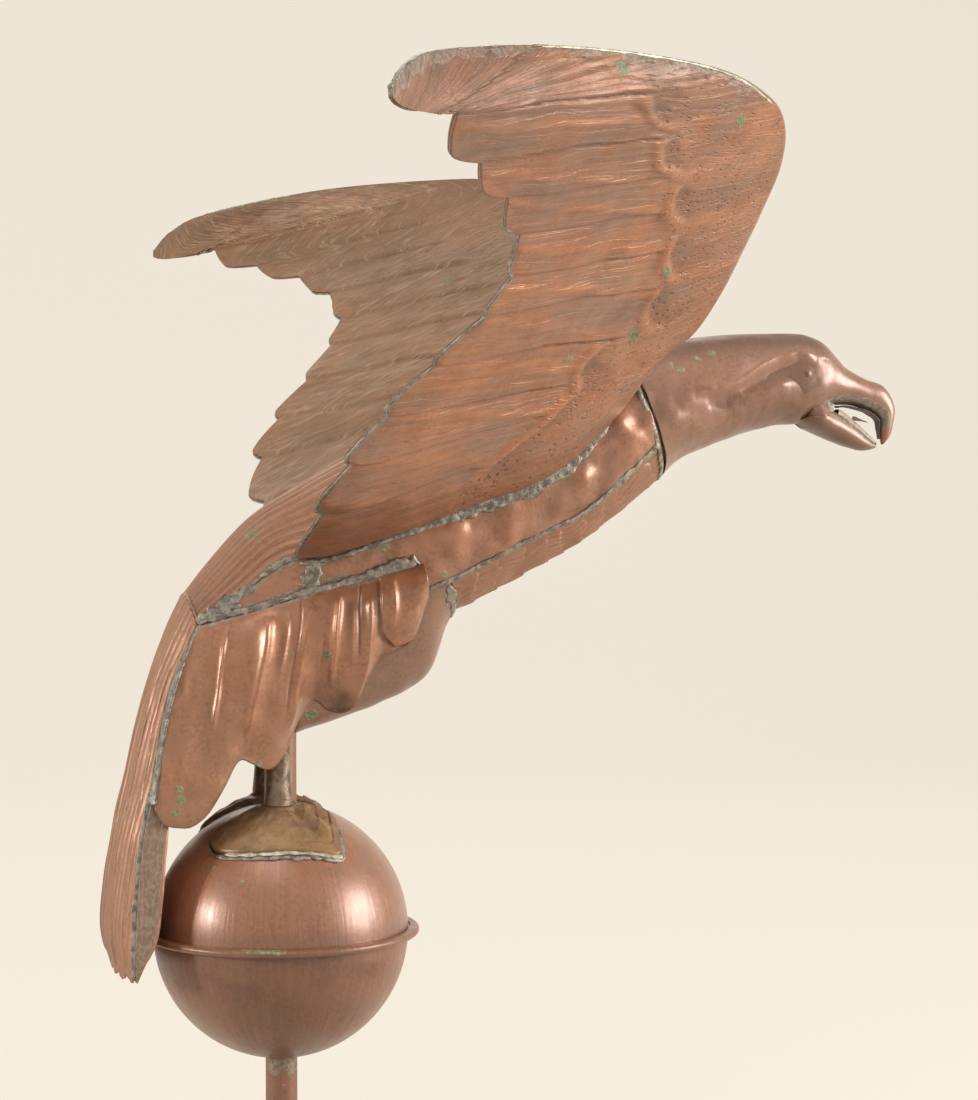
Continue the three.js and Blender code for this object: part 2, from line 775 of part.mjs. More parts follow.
function makeFeet() {
  const around = steps(32).slice(0, -1);
  const rings = [0.3, 0.5, 0.72, 0.9, 1];
  const points = [];
  const index = [];
  for (const top of [true, false]) {
    points.push(footPoint(0, 0, top));
    for (const r of rings) {
      for (const turn of around) points.push(footPoint(r, turn, top));
    }
  }
  const n = around.length;
  const layer = 1 + rings.length * n;
  const id = (k, i, j) => k * layer + 1 + i * n + (j % n);
  for (const k of [0, 1]) {
    const face = (a, b, c) => (k ? index.push(a, c, b) : index.push(a, b, c));
    for (let j = 0; j < n; j++) {
      face(k * layer, id(k, 0, j), id(k, 0, j + 1));
      for (let i = 0; i < rings.length - 1; i++) {
        face(id(k, i, j), id(k, i + 1, j), id(k, i + 1, j + 1));
        face(id(k, i, j), id(k, i + 1, j + 1), id(k, i, j + 1));
      }
    }
  }
  const rim = rings.length - 1;
  for (let j = 0; j < n; j++) {
    index.push(id(0, rim, j), id(1, rim, j), id(1, rim, j + 1));
    index.push(id(0, rim, j), id(1, rim, j + 1), id(0, rim, j + 1));
  }
  const foot = new THREE.BufferGeometry().setFromPoints(points);
  foot.setIndex(index);
  facingOut(foot);
  add(weathervane, "foot_right", foot, brassCast);
  add(weathervane, "foot_left", mirrored(foot), brassCast);

  const legFoot = footTop + fitGap;
  const leg = turned(
    [
      [0, legFoot],
      [legRadius, legFoot],
      [legTopRadius, mix(legFoot, legFoot + legRise, 0.5)],
      [legTopRadius, legFoot + legRise],
      [0, legFoot + legRise],
    ],
    14,
  ).translate(-legSetback, -legSpacing / 2, 0);
  add(weathervane, "leg_right", leg, brassCast);
  add(weathervane, "leg_left", mirrored(leg), brassCast);
}

// Ball: two spun halves whose flanges are held by a rolled bead
function halfBall(side) {
  const arc = (radius, hole) => {
    const start = Math.asin(hole / radius);
    const flangeFace = Math.asin((seamGap / 2 + (radius === ballRadius ? flangeThickness : 0)) / radius);
    return steps(7, start, Math.PI / 2 - flangeFace).map((a) => [
      radius * Math.sin(a),
      ballCentre + side * radius * Math.cos(a),
    ]);
  };
  const hole = tubeRadius + fitGap;
  const rim = ballRadius + flangeWidth;
  const flange = [
    [rim, ballCentre + side * (seamGap / 2 + flangeThickness)],
    [rim, (side * seamGap) / 2 + ballCentre],
  ];
  const outer = arc(ballRadius, hole);
  const inner = arc(ballRadius - ballWall, hole).reverse();
  return turned([...outer, ...flange, ...inner, outer[0]], roundSteps);
}

function makeBall() {
  add(weathervane, "ball_upper", halfBall(1), copper);
  add(weathervane, "ball_lower", halfBall(-1), copper);
  const slot = seamGap / 2 + flangeThickness + fitGap;
  const middle = ballRadius + flangeWidth + fitGap + beadWall;
  const lip = middle - beadRadius * 2;
  const profile = [
    [lip, ballCentre + slot],
    [lip, ballCentre + slot + beadWall],
  ];
  for (const a of steps(4, Math.PI / 2, -Math.PI / 2)) {
    const bend = slot + beadWall;
    profile.push([middle - beadRadius / 2 + beadRadius * Math.cos(a), ballCentre + bend * Math.sin(a)]);
  }
  profile.push([lip, ballCentre - slot - beadWall]);
  profile.push([lip, ballCentre - slot]);
  profile.push([middle - beadWall, ballCentre - slot]);
  profile.push([middle - beadWall, ballCentre + slot]);
  profile.push(profile[0]);
  add(weathervane, "ball_bead", turned(profile, roundSteps), copperDark);
}

// Tube, bearing and spindle
function cupArc(centre, rimHeight) {
  const radius = pivotRadius + fitGap;
  const open = Math.acos(Math.abs(rimHeight - centre) / radius);
  const side = Math.sign(rimHeight - centre);
  return steps(5, 0, open).map((a) => [
    radius * Math.sin(a),
    centre + side * radius * Math.cos(a),
  ]);
}

function makeBearing() {
  const pinHeight = mix(plugBottom, plugTop, plugPinShare);
  const crossHole = turned([
    [0, -tubeRadius - cutOverrun],
    [plugPinRadius + fitGap, -tubeRadius - cutOverrun],
    [plugPinRadius + fitGap, tubeRadius + cutOverrun],
    [0, tubeRadius + cutOverrun],
  ])
    .rotateX(Math.PI / 2)
    .translate(0, 0, pinHeight);
  const tube = turned([
    [tubeInner, tubeBottom],
    [tubeRadius, tubeBottom],
    [tubeRadius, tubeTop],
    [tubeInner, tubeTop],
    [tubeInner, tubeBottom],
  ]);
  add(weathervane, "vane_tube", cut(tube, crossHole), copper);

  const plugRadius = tubeInner - fitGap;
  const plug = turned([
    ...cupArc(pivotCentre, plugBottom),
    [plugRadius, plugBottom],
    [plugRadius, plugTop],
    [0, plugTop],
  ]);
  add(weathervane, "bearing_plug", cut(plug, crossHole), steel);

  const head = tubeRadius + fitGap;
  const pin = turned(
    [
      [0, -head - plugPinHead],
      [plugPinHeadRadius, -head - plugPinHead],
      [plugPinHeadRadius, -head],
      [plugPinRadius, -head],
      [plugPinRadius, head],
      [plugPinHeadRadius, head],
      [plugPinHeadRadius, head + plugPinHead],
      [0, head + plugPinHead],
    ],
    16,
  )
    .rotateX(Math.PI / 2)
    .translate(0, 0, pinHeight);
  add(weathervane, "plug_pin", pin, steel);

  const ball = new THREE.SphereGeometry(pivotRadius, 16, 8);
  add(weathervane, "pivot_ball", facingOut(ball.rotateX(Math.PI / 2).translate(0, 0, pivotCentre)), steel);

  const bushOuter = tubeInner - fitGap;
  const bushInner = spindleRadius + fitGap;
  const bush = turned([
    [bushInner, tubeBottom - fitGap - bushFlange],
    [tubeRadius, tubeBottom - fitGap - bushFlange],
    [tubeRadius, tubeBottom - fitGap],
    [bushOuter, tubeBottom - fitGap],
    [bushOuter, tubeBottom + bushLength],
    [bushInner, tubeBottom + bushLength],
    [bushInner, tubeBottom - fitGap - bushFlange],
  ]);
  add(weathervane, "guide_bush", bush, brassCast);

  const spindle = turned([
    [0, 0],
    [spindleRadius - spindleChamfer, 0],
    [spindleRadius, spindleChamfer],
    [spindleRadius, spindleTop - spindleChamfer],
    [spindleRadius - spindleChamfer, spindleTop],
    ...cupArc(pivotCentre, spindleTop).reverse(),
  ]);
  add(weathervane, "spindle", spindle, iron);
}

makeTorso();
makeBelly();
makeHead();
makeMouth();
makeCollar();
makeWings();
makeTail();
makeThighs();
makeFeet();
makeBall();
makeBearing();

export default weathervane;
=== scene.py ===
import itertools
import math

import bmesh
import bpy
import numpy as np
from mathutils import Matrix, Vector


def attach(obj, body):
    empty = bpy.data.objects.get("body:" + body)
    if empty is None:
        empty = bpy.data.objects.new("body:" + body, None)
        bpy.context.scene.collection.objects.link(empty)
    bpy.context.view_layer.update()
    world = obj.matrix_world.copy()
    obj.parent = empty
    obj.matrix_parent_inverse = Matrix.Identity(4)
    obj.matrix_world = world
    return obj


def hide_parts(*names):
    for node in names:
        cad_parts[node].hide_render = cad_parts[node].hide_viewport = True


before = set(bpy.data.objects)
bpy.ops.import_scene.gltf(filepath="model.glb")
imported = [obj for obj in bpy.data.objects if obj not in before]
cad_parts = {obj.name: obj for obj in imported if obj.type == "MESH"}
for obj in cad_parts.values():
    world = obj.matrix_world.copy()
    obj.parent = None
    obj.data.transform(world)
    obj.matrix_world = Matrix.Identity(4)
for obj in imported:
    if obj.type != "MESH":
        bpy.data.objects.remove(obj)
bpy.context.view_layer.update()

MM = 0.001

# Sizes of the vane, in millimetres
COPPER_WALL = 1.0
SEAM_GAP = 0.35
ROOT_GAP = 0.55
LAP_GAP = 0.7
FIT_GAP = 0.3
TUBE_RADIUS = 9.525
TUBE_WALL = 1.25
TUBE_BOTTOM = 102.8
TUBE_TOP = 484.8
SPINDLE_RADIUS = 6.35
BUSH_LENGTH = 28.0
BUSH_FLANGE = 2.5
PLUG_LENGTH = 34.0
PIN_HEAD = 1.0
PIVOT_RADIUS = 4.76
PIVOT_CUP = 2.6
BALL_CENTRE = 252.8
BALL_RADIUS = 76.2
BALL_WALL = 1.1
FLANGE_WIDTH = 4.6
FLANGE_THICKNESS = 1.0
BEAD_RADIUS = 2.15
BEAD_WALL = 0.7
BIRD_BASE = 370.0
LEG_SPACING = 52.0
LEG_SETBACK = 5.0
LEG_RADIUS = 8.6
LEG_TOP_RADIUS = 7.0
LEG_RISE = 42.0
FOOT_LENGTH = 74.0
FOOT_ANKLE_HEIGHT = 7.0
FOOT_RIM = 2.0
FOOT_OUTLINE = [
    [0.46, -0.03], [0.465, 0.1], [0.455, 0.24], [0.43, 0.345], [0.22, 0.385], [0, 0.385],
    [-0.2, 0.35], [-0.4, 0.25], [-0.52, 0.12], [-0.54, -0.02], [-0.48, -0.09], [-0.3, -0.1],
    [-0.12, -0.13], [0.1, -0.15], [0.28, -0.14], [0.4, -0.12], [0.46, -0.03],
]

# Torso
TORSO_LENGTH = 291.0
RUMP_SETBACK = 57.0
TORSO_RISE = 188.0
TORSO_BASE = 43.0
TORSO_WIDTH = 88.0
BELLY_DROP = 44.0
TORSO = [
    [0.893, 1.0, 1.0, 0.585, 0.443],
    [0.746, 0.926, 0.856, 0.408, 0.489],
    [0.567, 0.814, 0.722, 0.288, 0.5],
    [0.402, 0.697, 0.564, 0.164, 0.5],
    [0.247, 0.574, 0.395, 0.072, 0.489],
    [0.12, 0.442, 0.223, 0.011, 0.455],
    [0.0, 0.223, 0.038, 0.0, 0.409],
]
FLANK_TOP = [26, 13, 4, 2, 6, 8, 10, 13, 21, 16, 12]
FLANK_FOOT = [-27, -34, -40, -38, -37, -37, -36, -34, -30, -26, -22]
WING_ROOT_END = 0.757
BREAST_END = 0.505
BELLY_DROPS = [0, 0.68, 0.84, 0.88, 0.92, 0.95, 0.98, 1, 0.76, 0.44, 0.06]

# Head and beak
NECK_GAP = 1.6
HEAD_LENGTH = 167.5
HEAD_RISE = 49.0
HEAD_WIDTH = 78.0
HEAD = [
    [-0.09, 0.8, 0.093, -0.796, 0.5], [0.045, 0.88, 0.146, -0.62, 0.462],
    [0.16, 0.92, 0.224, -0.48, 0.42], [0.34, 0.98, 0.38, -0.286, 0.36],
    [0.516, 1.0, 0.516, -0.163, 0.325], [0.63, 0.99, 0.61, -0.138, 0.31],
    [0.71, 0.89, 0.672, -0.04, 0.27], [0.762, 0.72, 0.731, 0.08, 0.205],
    [0.803, 0.58, 0.808, 0.105, 0.15], [0.88, 0.44, 0.868, 0.063, 0.115],
    [0.958, 0.335, 0.916, 0.0, 0.09], [1.0, 0.085, 0.94, -0.09, 0.07],
    [0.995, -0.14, 0.943, -0.235, 0.056], [0.983, -0.285, 0.947, -0.34, 0.044],
    [0.96, -0.39, 0.951, -0.4, 0.022],
]
JAW = [
    [0.69, 0.03, 0.6, -0.1, 0.2],
    [0.728, 0.052, 0.645, -0.2, 0.235], [0.777, 0.0, 0.735, -0.34, 0.17],
    [0.83, -0.13, 0.81, -0.435, 0.13], [0.882, -0.275, 0.874, -0.475, 0.09],
    [0.928, -0.4, 0.92, -0.45, 0.035],
]
LINING_UPPER = [
    [0.938, -0.33], [0.934, -0.235], [0.93, -0.1], [0.905, -0.022], [0.862, 0.038],
    [0.806, 0.078], [0.765, 0.068],
]
LINING_LOWER = [[0.765, 0.045], [0.784, 0.022], [0.835, -0.108], [0.887, -0.253], [0.93, -0.372]]
LINING_WIDTH = 15.0
LINING_WALL = 0.8
LINING_WIDTHS = [0.2, 0.36, 0.6, 0.75, 0.9, 1]
TONGUE_LENGTH = 11.0
TONGUE_RADIUS = 1.3
TONGUE_TILT = 105.0
TONGUE_PLACE = [0.838, -0.062]

# Wings
WING_SWEEP = 247.0
WING_SPAN = 468.0
WING_RISE = 206.0
LEADING = [
    [0, 0, 0], [0.012, 0.063, 0.068], [0.042, 0.093, 0.113], [0.079, 0.116, 0.153],
    [0.111, 0.168, 0.258], [0.131, 0.215, 0.362], [0.144, 0.268, 0.464], [0.144, 0.333, 0.565],
    [0.106, 0.407, 0.648], [0.029, 0.473, 0.704], [-0.148, 0.571, 0.74], [-0.492, 0.717, 0.728],
    [-0.803, 0.86, 0.666], [-0.908, 0.954, 0.612], [-0.96, 1.003, 0.544],
]
TRAILING = [
    [0, 0, 0], [0.001, 0.167, 0.137], [0.029, 0.286, 0.27], [0.088, 0.338, 0.395],
    [0.175, 0.376, 0.521], [0.26, 0.436, 0.642], [0.3, 0.474, 0.737], [0.288, 0.538, 0.829],
    [0.223, 0.632, 0.897], [0.126, 0.739, 0.95], [0.032, 0.863, 1.024], [-0.03, 0.912, 1.009],
    [-0.08, 0.951, 1.001], [-0.114, 0.98, 1.003], [-0.131, 0.996, 1.013],
]
FEATHER_LOBE = 21.0
FEATHER_LOBES = [0.3, 0.45, 0.45, 0.35, 0.25, 0.22, 0.25, 0.45, 0.6, 0.8]
LOBE_PEAK = 0.27
WING_CAMBER = 11.0
WING_BOW = 7.7
WING_THINNING = 0.6
ROOT_BLEND = 0.24

# Tail
TAIL_SET = 50.0
TAIL_LENGTH = 226.0
TAIL_WIDTH = 112.0
TAIL_DEPTH = 15.0
TAIL_TIP_LOBE = 6.0
TAIL_FEATHERS = 6
TAIL_LOBE_START = 0.9
TAIL_BLEND = 0.3
TAIL_MIDDLE = [
    [0, 0], [-0.16, 0.075], [-0.36, 0.19], [-0.52, 0.31], [-0.68, 0.46], [-0.84, 0.62],
    [-0.94, 0.77], [-0.97, 0.86], [-0.93, 0.92], [-0.86, 0.95],
]
TAIL_EDGE = [
    [0.08, 0.08], [-0.04, 0.125], [-0.2, 0.205], [-0.33, 0.31], [-0.45, 0.46], [-0.6, 0.61],
    [-0.68, 0.76], [-0.71, 0.86], [-0.72, 0.915], [-0.72, 0.945],
]
TAIL_WIDTHS = [0.63, 0.62, 0.63, 0.66, 0.72, 0.8, 0.88, 0.93, 0.97, 1]
TAIL_DEPTHS = [0.3, 0.35, 0.45, 0.55, 0.7, 0.95, 1, 0.9, 0.55, 0.1]
TAIL_LOWER_START = 0.2
TAIL_FOLD = 0.84
TAIL_FLAT = 0.25

# Thighs
THIGH_DROP = 120.0
THIGH_LEAN = 22.0
THIGH_BULGE = 10.0
THIGH_SWELL = 0.75
THIGH_START = 1.0
THIGH_END = 0.543
THIGH_TOP = [12, 6, 0, -4, -6, -7, -9, -11, -13, -15, -17]
THIGH_DROPS = [
    0.883, 0.96, 0.99, 1, 0.95, 0.842, 0.745, 0.78, 0.83, 0.83, 0.77, 0.64, 0.558, 0.615, 0.645,
    0.615, 0.51, 0.405, 0.4, 0.345, 0.167,
]
THIGH_LEANS = [
    -1.2, -1.15, -1.05, -0.95, -0.82, -0.73, -0.7, -0.65, -0.58, -0.56, -0.54, -0.5, -0.41,
    -0.37, -0.25, -0.22, -0.23, -0.2, -0.12, 0.05, 0.09,
]
THIGH_TUCK = 9.0
THIGH_REAR_BOW = 6.0
THIGH_TUCKS = [-1.15, -1.05, -0.8, -0.2, 0.6, 1, 1, 0.7, 0.1, -0.3, -0.5]


def along(table, t):
    """A smooth curve through the rows of a table."""
    rows = np.array(table, float)
    last = len(rows) - 1
    x = held(np.asarray(t, float)) * last
    i = np.minimum(np.floor(x).astype(int), last - 1)
    f = x - i
    if rows.ndim > 1:
        f = f[..., None]
    a, b, c, d = (rows[np.clip(i + k, 0, last)] for k in (-1, 0, 1, 2))
    return b + 0.5 * f * (c - a + f * (2 * a - 5 * b + 4 * c - d + f * (3 * (b - c) + d - a)))


def mix(a, b, t):
    return a + (b - a) * t


def held(x):
    return np.clip(x, 0, 1)


def smooth(t):
    x = held(t)
    return x * x * (3 - 2 * x)


def bump(x, width):
    """A soft hill of height 1 where x is 0."""
    return np.exp(-((x / width) ** 2))


def lumps(points, size, seed=0):
    """Soft random dents between -1 and 1, of about the given size."""
    table = np.random.default_rng(seed).uniform(-1, 1, 4099)
    p = np.asarray(points) / size
    cell = np.floor(p).astype(np.int64)
    f = p - cell
    f = f * f * (3 - 2 * f)
    total = 0
    for corner in itertools.product((0, 1), repeat=3):
        k = cell + np.array(corner)
        spot = (k[..., 0] * 73856093 ^ k[..., 1] * 19349663 ^ k[..., 2] * 83492791) % 4099
        weight = np.prod(np.where(np.array(corner) == 1, f, 1 - f), axis=-1)
        total = total + table[spot] * weight
    return total


def rough(points, size, seed=0, octaves=3):
    """Dents with smaller dents on them."""
    return sum(lumps(points, size / 2**k, seed + k) / 2**k for k in range(octaves)) / 1.6


def unit(v):
    return v / np.maximum(np.linalg.norm(v, axis=-1, keepdims=True), 1e-12)


def normal_of(surface, u, v):
    """The direction square to a surface, from steps of e each way."""
    e = 1e-4
    du = surface(u + e, v) - surface(u - e, v)
    dv = surface(u, v + e) - surface(u, v - e)
    return unit(np.cross(du, dv))


def xyz(x, y, z):
    return np.stack(np.broadcast_arrays(x, y, z), -1).astype(float)


def grid(us, vs):
    """Two arrays over a grid. A whole number stands for that many even steps from 0 to 1."""
    us, vs = (np.linspace(0, 1, a) if isinstance(a, int) else np.asarray(a, float) for a in (us, vs))
    return np.meshgrid(us, vs, indexing="ij")


def raised(points, out, height):
    return points + out * height[..., None]


def turned(normals, wrong):
    """The normals, with those that point the wrong way turned round."""
    return normals * np.where(wrong, -1, 1)[..., None]


def side_view(points):
    """Places along the bird and above the ball's centre, in millimetres."""
    return points[..., 0], points[..., 2] + BIRD_BASE - BALL_CENTRE


def near_line(x, z, line):
    """Distance to a line of (x, z) points, the side of it, and the share of the way along it."""
    line = np.array(line, float)
    best = np.full(np.shape(x), 1e9)
    side = np.zeros(np.shape(x))
    share = np.zeros(np.shape(x))
    total = len(line) - 1
    for k in range(total):
        a, b = line[k], line[k + 1]
        d = b - a
        t = held(((x - a[0]) * d[0] + (z - a[1]) * d[1]) / (d @ d))
        gap = np.hypot(x - a[0] - t * d[0], z - a[1] - t * d[1])
        closer = gap < best
        best = np.where(closer, gap, best)
        side = np.where(closer, np.sign(d[0] * (z - a[1]) - d[1] * (x - a[0])), side)
        share = np.where(closer, (k + t) / total, share)
    return best, side, share


# Finishes

def tone(r, g, b):
    """A colour given from 0 to 255, as the shader wants it."""
    return tuple(((c / 255 + 0.055) / 1.055) ** 2.4 for c in (r, g, b)) + (1.0,)


STAIN_BROWN = tone(128, 98, 80)
TIN_DARK, TIN_PALE = tone(122, 111, 98), tone(166, 155, 136)
GREEN_DARK, GREEN_PALE = tone(112, 132, 98), tone(158, 166, 124)
SPECK_GREEN = tone(140, 146, 104)
HAIR_PALE = tone(202, 176, 146)
PIT_BROWN = tone(96, 70, 56)

# How fine the copper's patterns are, in repeats to a metre
BROAD, STAIN, SPECK, MOTTLE, SMEAR, GRAIN = 11, 26, 42, 55, 190, 420
COAT_ROUGHNESS = 0.3
COPPER_RELIEF = 0.6
CAST_RELIEF = 0.7


class Wiring:
    """Short ways to add and join the nodes of a tree."""

    def __init__(self, tree):
        self.tree = tree

    def join(self, source, target):
        if isinstance(source, bpy.types.NodeSocket):
            self.tree.links.new(source, target)
        else:
            target.default_value = source

    def fill(self, node, inputs):
        for label, source in inputs.items():
            self.join(source, node.inputs[label])
        return node

    def add(self, kind, inputs, out=0, **settings):
        """Adds a node, fills its inputs with sockets or plain values, and hands back one output."""
        node = self.tree.nodes.new("ShaderNode" + kind)
        for name, value in settings.items():
            setattr(node, name, value)
        return self.fill(node, inputs).outputs[out]

    def use(self, group, inputs):
        node = self.tree.nodes.new("ShaderNodeGroup")
        node.node_tree = group
        return self.fill(node, inputs).outputs

    def math(self, kind, a, b=0.0, clamp=False):
        return self.add("Math", {0: a, 1: b}, operation=kind, use_clamp=clamp)

    def plus(self, a, b, clamp=False):
        return self.math("ADD", a, b, clamp)

    def times(self, a, b):
        return self.math("MULTIPLY", a, b)

    def off_middle(self, value, strength):
        """How far a noise is from its middle, times a strength."""
        return self.times(self.math("SUBTRACT", value, 0.5), strength)

    def blend(self, factor, a, b):
        return self.add("Mix", {0: factor, 6: a, 7: b}, 2, data_type="RGBA")

    def move(self, kind, a, b=(0, 0, 0)):
        return self.add("VectorMath", {0: a, 1: b}, operation=kind)

    def noise(self, vector, scale, detail=3.0, roughness=0.55, distortion=0.0):
        inputs = {"Vector": vector, "Scale": scale, "Detail": detail, "Roughness": roughness}
        return self.add("TexNoise", {**inputs, "Distortion": distortion}, "Fac")

    def cells(self, vector, scale):
        return self.add("TexVoronoi", {"Vector": vector, "Scale": scale}, "Distance")

    def span(self, value, low, high, start=0.0, end=1.0):
        inputs = {"Value": value, "From Min": low, "From Max": high, "To Min": start, "To Max": end}
        return self.add("MapRange", inputs, "Result", interpolation_type="SMOOTHSTEP")

    def on_piece(self):
        return self.add("TexCoord", {}, "Object")

    def stretched(self, vector, scale=(1, 1, 1)):
        return self.add("Mapping", {"Vector": vector, "Scale": scale}, "Vector")

    def trait(self, name, part="Fac"):
        return self.add("Attribute", {}, part, attribute_name=name)


def new_group(name, takes, gives):
    """A shader group: its wiring, what it is given, and the node that takes what it puts out."""
    group = bpy.data.node_groups.new(name, "ShaderNodeTree")
    for label, kind, value in takes:
        socket = group.interface.new_socket(label, in_out="INPUT", socket_type="NodeSocket" + kind)
        if value is not None:
            socket.default_value = value
    for label, kind in gives:
        group.interface.new_socket(label, in_out="OUTPUT", socket_type="NodeSocket" + kind)
    return Wiring(group), group.nodes.new("NodeGroupInput").outputs, group.nodes.new("NodeGroupOutput")


def copper_weathering_and_light():
    """Brown copper with rubbed, dark, tinned and green places; the rubbed places also carry painted highlights,
    and the dark places painted shade.
    """
    takes = [
        ("Base", "Color", tone(170, 118, 90)), ("Warm", "Color", tone(188, 122, 82)),
        ("Dark", "Color", tone(96, 66, 50)), ("Rub_and_sheen", "Float", 0.0), ("Grime_and_shade", "Float", 0.0),
        ("Patina", "Float", 0.0), ("Tin", "Float", 0.0),
    ]
    gives = [("Colour", "Color"), ("Roughness", "Float"), ("Height", "Float")]
    w, given, out = new_group("Copper weathering and light", takes, gives)
    place = w.stretched(w.on_piece())
    broad = w.noise(place, BROAD, 3)
    mottle = w.noise(place, MOTTLE, 4, 0.6)
    grain = w.noise(place, GRAIN, 3, 0.6)
    # The rub input lightens towards the warm tone: wear in places, painted highlight on ridges and crests in
    # others.
    warm = w.plus(w.span(w.plus(broad, w.times(mottle, 0.5)), 0.62, 0.95), given["Rub_and_sheen"], clamp=True)
    colour = w.blend(warm, given["Base"], given["Warm"])
    stain = w.span(w.noise(place, STAIN, 5, 0.65), 0.52, 0.75, 0.0, 0.45)
    colour = w.blend(stain, colour, STAIN_BROWN)
    fleck = w.span(w.plus(grain, w.times(mottle, 0.7)), 0.78, 1.1, 0.0, 0.35)
    colour = w.blend(fleck, colour, given["Dark"])
    # The grime input darkens towards the dark tone: grime in places, painted shade in creases and hollows in
    # others.
    weather_and_light = w.times(given["Grime_and_shade"], w.span(grain, 0.2, 0.7, 0.75, 1.0))
    colour = w.blend(weather_and_light, colour, given["Dark"])
    edge = w.plus(given["Tin"], w.off_middle(w.noise(place, SMEAR, 4, 0.65), 1.3))
    tin = w.times(w.span(edge, 0.44, 0.56), 0.85)
    colour = w.blend(tin, colour, w.blend(w.span(grain, 0.35, 0.65), TIN_DARK, TIN_PALE))
    patina = w.span(w.plus(given["Patina"], w.off_middle(grain, 1.1)), 0.4, 0.75)
    colour = w.blend(patina, colour, w.blend(w.span(grain, 0.4, 0.62), GREEN_DARK, GREEN_PALE))
    speck = w.times(w.span(w.cells(place, SPECK), 0.05, 0.09, 1.0, 0.0), w.span(broad, 0.5, 0.56))
    speck = w.times(speck, 0.8)
    green = w.math("MAXIMUM", patina, speck)
    gloss = w.plus(w.span(mottle, 0.3, 0.7, 0.34, 0.46), w.times(given["Grime_and_shade"], 0.15))
    gloss = w.plus(gloss, w.times(green, 0.35))
    height = w.plus(w.plus(w.times(grain, 0.35), w.times(mottle, 0.6)), w.times(green, 0.6))
    w.fill(out, {
        "Colour": w.blend(speck, colour, SPECK_GREEN),
        "Roughness": w.plus(gloss, w.times(tin, 0.1), clamp=True),
        "Height": w.plus(height, w.times(tin, 0.5)),
    })
    return w.tree


def feather_lines():
    """Fine barbs that run with the feather; the vector is across and along it in millimetres."""
    takes = [("Flow", "Vector", None), ("Pitting", "Float", 0.0), ("Barbs", "Float", 1.0)]
    gives = [(label, "Float") for label in ("Line", "Streak", "Hair", "Pit", "Height")]
    w, given, out = new_group("Feather lines", takes, gives)

    def drawn(across, ahead, *rest):
        """A noise drawn out along the feather."""
        return w.noise(w.stretched(given["Flow"], (across, ahead, 1)), 1.0, *rest)

    line = w.plus(w.times(drawn(0.62, 0.03, 3, 0.6), 0.6), w.times(drawn(0.22, 0.014, 2, 0.5), 0.4))
    line = w.times(w.span(line, 0.36, 0.62), given["Barbs"])
    curl = w.math("SUBTRACT", drawn(0.16, 0.009, 3, 0.55, 0.4), 0.5)
    hair = w.span(w.math("ABSOLUTE", curl), 0.004, 0.02, 1.0, 0.0)
    pits = w.cells(w.stretched(given["Flow"], (0.36, 0.2, 1)), 1.0)
    pit = w.times(w.span(pits, 0.08, 0.34, 1.0, 0.0), given["Pitting"])
    height = w.math("SUBTRACT", w.times(line, 0.6), w.times(pit, 1.6))
    w.fill(out, {
        "Line": line,
        "Streak": w.span(drawn(0.13, 0.009, 2, 0.5), 0.4, 0.6),
        "Hair": w.times(hair, given["Barbs"]),
        "Pit": pit,
        "Height": w.plus(height, w.times(hair, 0.3)),
    })
    return w.tree


def rain_streaks():
    """Streaks that run down a turned piece, all round the upright axis."""
    w, given, out = new_group("Rain streaks", [("Fineness", "Float", 26.0)], [("Streak", "Float")])
    place = w.on_piece()
    ring = w.move("NORMALIZE", w.move("MULTIPLY", place, (1, 1, 0)))
    spot = w.move("ADD", ring, w.move("MULTIPLY", place, (0, 0, 0.6)))
    sized = w.add("VectorMath", {0: spot, "Scale": given["Fineness"]}, operation="SCALE")
    w.fill(out, {"Streak": w.span(w.noise(sized, 1.0, 4, 0.6), 0.4, 0.62)})
    return w.tree


WEATHERING_AND_LIGHT = copper_weathering_and_light()
FEATHERS = feather_lines()
STREAKS = rain_streaks()


def new_material(name, **plain):
    """A material with the shader's plain values set, its wiring and its shader."""
    material = bpy.data.materials.new(name)
    material.use_nodes = True
    w = Wiring(material.node_tree)
    shader = material.node_tree.nodes["Principled BSDF"]
    w.fill(shader, {label.replace("_", " "): value for label, value in plain.items()})
    return material, w, shader


def cover(w, shader, colour, roughness, height, depth, strength):
    relief = w.add("Bump", {"Distance": depth, "Strength": strength, "Height": height}, "Normal")
    w.fill(shader, {"Base Color": colour, "Roughness": roughness, "Normal": relief})


